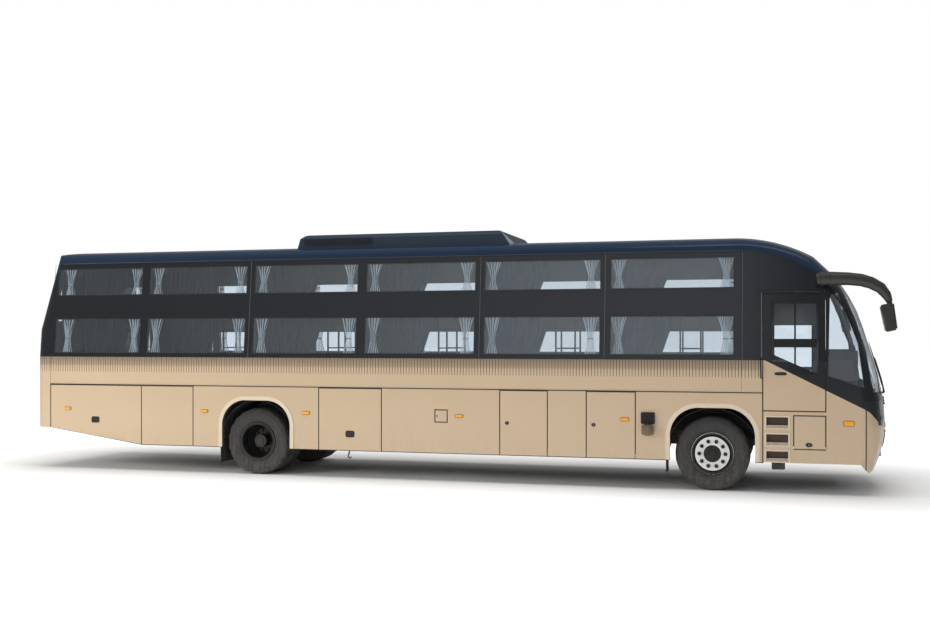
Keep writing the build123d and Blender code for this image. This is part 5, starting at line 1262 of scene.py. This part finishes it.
bm_back, bm_slats, bm_seams = bmesh.new(), bmesh.new(), bmesh.new()
for side in (RIGHT, LEFT):
    rear_x, front_x = LOUVRE_REAR_X - 0.012, LOUVRE_FRONT_X + 0.006
    prism(bm_back, [(rear_x, LOUVRE_LOW_Z), (front_x, LOUVRE_LOW_Z), (front_x, LOUVRE_TOP_Z),
                    (LOUVRE_REAR_X + 0.020, LOUVRE_TOP_Z)], side * AC_HALF, side * (AC_HALF + 0.0015))
    for z in LOUVRE_ROWS:
        bars(bm_slats, UNIT_PAINT, slat_count, (LOUVRE_REAR_X, side * (AC_HALF + 0.004), z),
             (SLAT_PITCH, 0, 0), (0.008, 0.006, 0.028), (0.0, side * 0.55, side * 0.35))
    for z in LOUVRE_RAILS:
        unit_strip(bm_slats, side, rear_x, front_x, z - 0.002, z + 0.002, 0.008)
    for x in (LOUVRE_FRONT_X + 0.020, 0.300, 1.020):
        unit_strip(bm_seams, side, x - 0.002, x + 0.002, 3.60, LOUVRE_TOP_Z, 0.0012)
    bars(bm_seams, BLACK_PLASTIC, 9, (-0.80, side * (AC_HALF + 0.001), 3.612), (0.240, 0, 0),
         (0.012, 0.004, 0.012))
piece("unit_louvre_back", bm_back, BLACK_PLASTIC)
piece("unit_louvres", bm_slats, UNIT_PAINT)
piece("unit_seams", bm_seams, BLACK_PLASTIC)
# A thin lighter plate on the right half of the roof unit's sloping front: a painted highlight.
bm = bmesh.new()
(x0, z0), (x1, z1) = (AC_FRONT_X - 0.200, AC_TOP_Z - 0.017), (AC_FRONT_X - 0.045, 3.566)
loft(bm, [[(x0 + off, -0.835, z0 + off * 0.7), (x1 + off, -0.880, z1 + off * 0.7),
           (x1 + off, -0.300, z1 + off * 0.7)] for off in (0.001, 0.004)])
piece("unit_nose_highlight", bm, UNIT_NOSE_HIGHLIGHT)

# ------------------------------------------------------------------ air intake and undercarriage
bm = bmesh.new()
INTAKE_X = 3.4445
block(bm, (3.346, -1.318, 0.931), (3.543, -1.2752, 1.099), 0.010)
tube(bm, [(INTAKE_X, -1.300, 0.935), (INTAKE_X, -1.312, 0.915), (INTAKE_X, -1.335, 0.900)], 0.036, 16)
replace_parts(piece("intake_duct", bm, BLACK_PLASTIC), "air_intake")
bm = bmesh.new()
bars(bm, BLACK_PLASTIC, 7, (INTAKE_X, -1.3195, 0.952), (0, 0, 0.021), (0.165, 0.004, 0.009), (0.5, 0, 0))
piece("intake_slats", bm, BLACK_PLASTIC)
bm = bmesh.new()
CAN_Y, CAN_WIDTH = -1.349, 1.45       # the canister is wider than deep
CAN_PROFILE = ((0.030, 0.772), (0.036, 0.780), (0.054, 0.786), (0.058, 0.800), (0.058, 0.838),
               (0.061, 0.842), (0.061, 0.852), (0.058, 0.856), (0.058, 0.905), (0.050, 0.920), (0.030, 0.927))
turns = [2 * pi * k / 36 for k in range(36)]
loft(bm, [[(INTAKE_X + CAN_WIDTH * radius * cos(turn), CAN_Y + radius * sin(turn), z) for turn in turns]
          for radius, z in CAN_PROFILE])
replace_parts(piece("intake_canister", bm, BRONZE), "air_intake")
bm = bmesh.new()
tube(bm, [(3.352, -1.278, 0.880), (3.356, -1.345, 0.880), (3.392, -1.394, 0.880), (INTAKE_X, -1.4115, 0.880),
          (3.497, -1.394, 0.880), (3.533, -1.345, 0.880), (3.537, -1.278, 0.880)], 0.004, 8)
piece("intake_strap", bm, BRIGHT_STEEL)

# Rubber edges under the skirt, a bracket under the steps and a hook ahead of the rear wheel.
SKIRT_EDGES = (((-6.455, 0.662), (-4.740, 0.419)), ((-4.740, 0.419), (-3.300, 0.419)),
               ((-2.120, 0.419), (3.750, 0.419)), ((4.930, 0.419), (5.040, 0.419)))
bm = bmesh.new()
for side in (RIGHT, LEFT):
    inner_y, outer_y = side * (HALF_WIDTH - 0.014), side * (HALF_WIDTH - 0.001)
    for ends in SKIRT_EDGES:
        loft(bm, [[(x, inner_y, z), (x, outer_y, z), (x, outer_y, z + 0.012), (x, inner_y, z + 0.012)]
                  for x, z in ends])
block(bm, (5.150, -1.235, 0.330), (5.330, -1.150, 0.432), 0.008)
tube(bm, [(-1.160, -1.180, 0.440), (-1.160, -1.200, 0.380), (-1.175, -1.210, 0.330), (-1.150, -1.215, 0.300),
          (-1.120, -1.210, 0.320)], 0.011, 10)
piece("skirt_trim", bm, RUBBER)

# ------------------------------------------------------------------ curtains
DECK_NAMES = ("lower", "upper")
CURTAIN_LAP, CURTAIN_GAP, CURTAIN_DEPTH = 0.015, 0.0005, 0.036
CURTAIN_REAR_X = -6.340
CURTAIN_TOP, CURTAIN_WAIST, CURTAIN_FOOT = 0.250, 0.085, 0.190
WAIST_SHARE = 0.42
CLOTH_WIDTH = 0.440           # of one curtain before it was gathered
FOLDS = 5
ACROSS, DOWN = 56, 26         # the cloth's grid
MOST_FOLD, FOLD_SAMPLES, FOLD_HALVINGS = 0.0165, 200, 14
TIE_HALF = (0.046, 0.0178, 0.011)
ROD_RADIUS = 0.004


def gathered_width(share):
    """How wide a tied curtain hangs, from 0 at its hem to 1 at its head."""
    if share < WAIST_SHARE:
        lift = 1 - share / WAIST_SHARE
        return CURTAIN_WAIST + (CURTAIN_FOOT - CURTAIN_WAIST) * lift ** 1.4
    lift = (share - WAIST_SHARE) / (1 - WAIST_SHARE)
    return CURTAIN_WAIST + (CURTAIN_TOP - CURTAIN_WAIST) * lift ** 1.25


def fold_depth(width):
    """The depth of the folds that takes up the cloth's width within the width that shows, found by halving."""
    waves = [sin(2 * pi * FOLDS * k / FOLD_SAMPLES) for k in range(FOLD_SAMPLES + 1)]
    low, high = 0.0, MOST_FOLD
    for _ in range(FOLD_HALVINGS):
        depth = (low + high) / 2
        length = sum(hypot(width / FOLD_SAMPLES, depth * (following - wave))
                     for wave, following in zip(waves, waves[1:]))
        low, high = (depth, high) if length < CLOTH_WIDTH else (low, depth)
    return (low + high) / 2


def hung_y(z):
    """The plane that a curtain hangs in, on the left side."""
    return side_y(z) - WALL - CURTAIN_GAP - CURTAIN_DEPTH / 2


def cloth(bm, points, width, drop):
    """A sheet through rows of points from the hem up; its UV map is the flat cloth, in metres."""
    uv = bm.loops.layers.uv.new("cloth")
    rows = [[bm.verts.new(point) for point in line] for line in points]
    across, down = len(rows[0]) - 1, len(rows) - 1
    for row in range(down):
        for column in range(across):
            corners = ((column, row), (column + 1, row), (column + 1, row + 1), (column, row + 1))
            face = bm.faces.new([rows[r][c] for c, r in corners])
            for loop, (c, r) in zip(face.loops, corners):
                loop[uv].uv = (c / across * width, r / down * drop)


FOLD_DEPTHS = [fold_depth(gathered_width(row / DOWN)) for row in range(DOWN + 1)]


def curtain(name, side, edge_x, direction, hem_z, drop, chance):
    """A lace curtain gathered at its head, tied at its waist and flared at its hem."""
    bm = bmesh.new()
    phase, sway = chance.uniform(0, 2 * pi), chance.uniform(-0.006, 0.006)
    rows = []
    for row in range(DOWN + 1):
        share = row / DOWN
        z = hem_z + share * drop
        width = gathered_width(share)
        line = []
        for column in range(ACROSS + 1):
            u = column / ACROSS
            fold = FOLD_DEPTHS[row] * sin(2 * pi * FOLDS * u + 0.8 * sin(3.1 * share + phase))
            drift = sway * sin(pi * share) * sin(pi * u)
            line.append((edge_x + direction * ((CURTAIN_TOP - width) / 2 + width * u + drift),
                         side * (hung_y(z) + fold), z))
        rows.append(line)
    cloth(bm, rows, CLOTH_WIDTH, drop)
    made = piece(name, bm, LACE, sharp=180.0)
    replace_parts(made, "curtains")
    return made


chance = Random(4)
bm_rods, bm_ties = bmesh.new(), bmesh.new()
for side, word in SIDE_NAMES.items():
    for bay, (bay_front, width) in enumerate(WINDOW_BAYS):
        for row, (base_z, height) in enumerate(WINDOW_ROWS):
            hem_z, drop = base_z - CURTAIN_LAP, height + 2 * CURTAIN_LAP
            rear_x = max(bay_front - width - CURTAIN_LAP, CURTAIN_REAR_X)
            rod_y, rod_z = side * hung_y(hem_z + drop), hem_z + drop + ROD_RADIUS
            tube(bm_rods, [(rear_x, rod_y, rod_z), (bay_front + CURTAIN_LAP, rod_y, rod_z)], ROD_RADIUS, 8)
            for end, edge_x, direction in (("front", bay_front + (CURTAIN_LAP, -0.030)[bay > 0], -1),
                                           ("rear", rear_x, 1)):
                name = "curtain_%s_%d_%s_%s" % (word, bay + 1, DECK_NAMES[row], end)
                curtain(name, side, edge_x, direction, hem_z, drop, chance)
                waist_z = hem_z + WAIST_SHARE * drop
                waist = (edge_x + direction * CURTAIN_TOP / 2, side * hung_y(waist_z), waist_z)
                block(bm_ties, [place - half for place, half in zip(waist, TIE_HALF)],
                      [place + half for place, half in zip(waist, TIE_HALF)], 0.006)
piece("curtain_rods", bm_rods, BRIGHT_STEEL)
piece("curtain_ties", bm_ties, PILLOW_CLOTH)


# ------------------------------------------------------------------ drapes and pelmets along the aisle
DRAPE_CUT, DRAPE_WIDTH, DRAPE_FOLDS = 1.260, 0.900, 10
DRAPE_Y, DRAPE_SWING, DRAPE_GRID = 0.385, 0.0236, (108, 12)
DRAPE_ROWS = ((1.860, 0.745), (2.800, 0.640))         # hem, drop
PELMETS = ((2.260, 2.655), (3.050, 3.440))            # low z, high z


def drape(name, side, front_x, aisle_y, hem_z, drop, chance):
    """A drawn drape on a berth's aisle side, in soft upright folds."""
    bm = bmesh.new()
    phase = chance.uniform(0, 2 * pi)
    columns, down = DRAPE_GRID
    rows = []
    for row in range(down + 1):
        share = row / down
        drawn = 0.16 * max(0.0, 1.0 - share / 0.55)
        swing = DRAPE_SWING * (1.0 + 0.55 * drawn)
        bend = 0.5 * sin(2.2 * share + phase)
        rows.append([(front_x - DRAPE_WIDTH * (drawn + (1 - drawn) * column / columns),
                      side * (aisle_y + swing * sin(2 * pi * DRAPE_FOLDS * column / columns + bend)),
                      hem_z + share * drop) for column in range(columns + 1)])
    cloth(bm, rows, DRAPE_CUT, drop)
    return piece(name, bm, DRAPE_CLOTH, sharp=180.0)


# ------------------------------------------------------------------ bedding and the driver's seat
def cushion_mesh(size, steps, crown, power, channels=0.0, channel_depth=0.004, tilt=0.0, centre=(0, 0, 0)):
    """A closed pad inside a box of that size: pulled-in corners, crowned top and sewn channels along X."""
    bm = bmesh.new()
    bmesh.ops.create_cube(bm, size=2.0)
    for axis, count in enumerate(steps):
        for cut in range(1, count):
            place = [0.0, 0.0, 0.0]
            place[axis] = -1 + 2 * cut / count
            way = [0.0, 0.0, 0.0]
            way[axis] = 1.0
            bmesh.ops.bisect_plane(bm, geom=bm.verts[:] + bm.edges[:] + bm.faces[:], plane_co=place,
                                   plane_no=way)
    half = [side / 2 for side in size]
    turn = Matrix.Rotation(tilt, 3, "Y")
    uv = bm.loops.layers.uv.new("cloth")
    for face in bm.faces:
        flat = max(range(3), key=lambda axis: abs(face.normal[axis]))
        first, second = [axis for axis in range(3) if axis != flat]
        for loop in face.loops:
            loop[uv].uv = (loop.vert.co[first] * half[first], loop.vert.co[second] * half[second])
    for vert in bm.verts:
        a, b, c = vert.co
        pull = 1 - 0.045 * abs(a) ** 8 * abs(b) ** 8 * (0.6 + 0.4 * abs(c))
        edge = (1 - abs(a) ** power) * (1 - abs(b) ** power)
        swell = (1 - crown) + crown * edge ** 0.5
        side_in = 1 - 0.030 * c * c * c * c
        z = c * half[2] * (swell if c > 0 else 1 - crown * 0.3 * (1 - edge ** 0.5))
        x, y = a * half[0] * pull * side_in, b * half[1] * pull * side_in
        if channels and c > 0.9:
            off = abs((x / channels) - round(x / channels)) * channels
            z -= channel_depth * max(0.0, 1 - off / 0.022) * edge ** 0.3
        vert.co = turn @ Vector((x, y, z)) + Vector(centre)
    return bm


BERTH_ROWS = ((RIGHT, 0.430), (LEFT, 0.050))          # side, edge along the aisle
BERTH_OUTER_Y, DECKS, BED_THICKNESS = 1.130, (1.720, 2.660), 0.090
PILLOW_LENGTH, PILLOW_WIDTH, PILLOW_THICKNESS = 0.300, 0.480, 0.105
berth_rear_x = WINDOW_BAYS[-1][0] - TAIL_WINDOW_WIDTH - 0.015
divisions = [WINDOW_FRONT_X - index * WINDOW_PITCH + (WINDOW_PITCH - WINDOW_WIDTH) / 2
             for index in range(1, WINDOW_COUNT)]
board_xs = [berth_rear_x, *reversed(divisions), CAP_X - 0.075]
berth_bays = [(x0 + 0.015, x1 - 0.015) for x0, x1 in zip(board_xs, board_xs[1:])]
for side, aisle_y in BERTH_ROWS:
    for deck, deck_z in enumerate(DECKS):
        for bay, (x0, x1) in enumerate(berth_bays):
            name = "%s_%s_%d" % (SIDE_NAMES[side], DECK_NAMES[deck], bay + 1)
            middle_y = side * (aisle_y + BERTH_OUTER_Y) / 2
            low_z = deck_z + 0.0003
            size = (x1 - x0 - 0.040, BERTH_OUTER_Y - aisle_y - 0.080, BED_THICKNESS)
            bm = cushion_mesh(size, (30, 10, 3), 0.10, 8.0, 0.210, 0.005,
                              centre=((x0 + x1) / 2, middle_y, low_z + BED_THICKNESS / 2))
            bed = piece("mattress_" + name, bm, MATTRESS_CLOTH, sharp=180.0)
            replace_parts(bed, "mattresses")
            tilt, aside = chance.uniform(-0.03, 0.03), chance.uniform(-0.02, 0.02)
            bm = cushion_mesh((PILLOW_LENGTH, min(PILLOW_WIDTH, size[1] - 0.08), PILLOW_THICKNESS), (10, 12, 4),
                              0.62, 2.4, tilt=tilt,
                              centre=(x1 - 0.200, middle_y + aside, low_z + BED_THICKNESS + 0.046))
            pillow = piece("pillow_" + name, bm, PILLOW_CLOTH, sharp=180.0)

bm_rods, bm_boards = bmesh.new(), bmesh.new()
saloon_rear_x, saloon_front_x = berth_bays[0][0], berth_bays[-1][1]
for deck, (hem_z, drop) in enumerate(DRAPE_ROWS):
    rod_z = hem_z + drop + 0.006
    tube(bm_rods, [(saloon_rear_x, -DRAPE_Y, rod_z), (saloon_front_x, -DRAPE_Y, rod_z)], 0.006, 8)
    for bay, (x0, x1) in enumerate(berth_bays):
        name = "drape_%s_%d" % (DECK_NAMES[deck], bay + 1)
        made = drape(name, RIGHT, x0 + DRAPE_WIDTH - 0.06, DRAPE_Y, hem_z, drop, chance)
for z0, z1 in PELMETS:
    block(bm_boards, (saloon_rear_x, 0.012, z0), (saloon_front_x, 0.030, z1))
bm_cab = bmesh.new()
block(bm_cab, (5.060, 1.060, 2.360), (5.860, 1.075, 2.800))
for side in SIDE_NAMES:
    block(bm_cab, (5.900, side * 1.0175 - 0.0075, 1.560), (6.300, side * 1.0175 + 0.0075, 1.985))
piece("cab_panels", bm_cab, GLOSS_BLACK)
piece("drape_rods", bm_rods, BRIGHT_STEEL)
piece("aisle_pelmets", bm_boards, BOARD)

SEAT_X, SEAT_Y, CAB_FLOOR_Z = 5.230, -0.690, 1.100
bm = bmesh.new()
for ring in range(5):         # the bellows
    z, inset = CAB_FLOOR_Z + 0.020 + ring * 0.052, 0.006 * (ring % 2)
    block(bm, (SEAT_X - 0.170 + inset, SEAT_Y - 0.160, z), (SEAT_X + 0.170 - inset, SEAT_Y + 0.160, z + 0.048),
          0.012)
block(bm, (SEAT_X - 0.180, SEAT_Y - 0.170, CAB_FLOOR_Z + 0.0003),
      (SEAT_X + 0.180, SEAT_Y + 0.170, CAB_FLOOR_Z + 0.022), 0.004)
block(bm, (SEAT_X - 0.200, SEAT_Y - 0.215, CAB_FLOOR_Z + 0.280),
      (SEAT_X + 0.240, SEAT_Y + 0.215, CAB_FLOOR_Z + 0.305), 0.006)
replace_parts(piece("seat_base", bm, BLACK_PLASTIC), "driver_seat")
BACK_LEAN = radians(-98)
# name, size, steps, crown, power, channels, tilt, how far its middle is ahead of the seat's foot and above it
SEAT_PADS = (
    ("seat_cushion", (0.500, 0.480, 0.110), (14, 14, 4), 0.18, 4.0, 0.100, 0.0, (0.020, 0.358)),
    ("seat_back", (0.620, 0.460, 0.120), (16, 14, 4), 0.22, 4.0, 0.110, BACK_LEAN, (-0.243, 0.690)),
    ("head_rest", (0.180, 0.280, 0.095), (8, 10, 4), 0.30, 3.0, 0.0, BACK_LEAN, (-0.290, 1.010)))
for name, size, steps, crown, power, channels, tilt, (ahead, above) in SEAT_PADS:
    bm = cushion_mesh(size, steps, crown, power, channels, 0.007, tilt,
                      (SEAT_X + ahead, SEAT_Y, CAB_FLOOR_Z + above))
    made = piece(name, bm, SEAT_CLOTH, sharp=180.0)
    smooth = made.modifiers.new("smooth", "SUBSURF")
    smooth.levels = smooth.render_levels = 1
    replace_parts(made, "driver_seat")
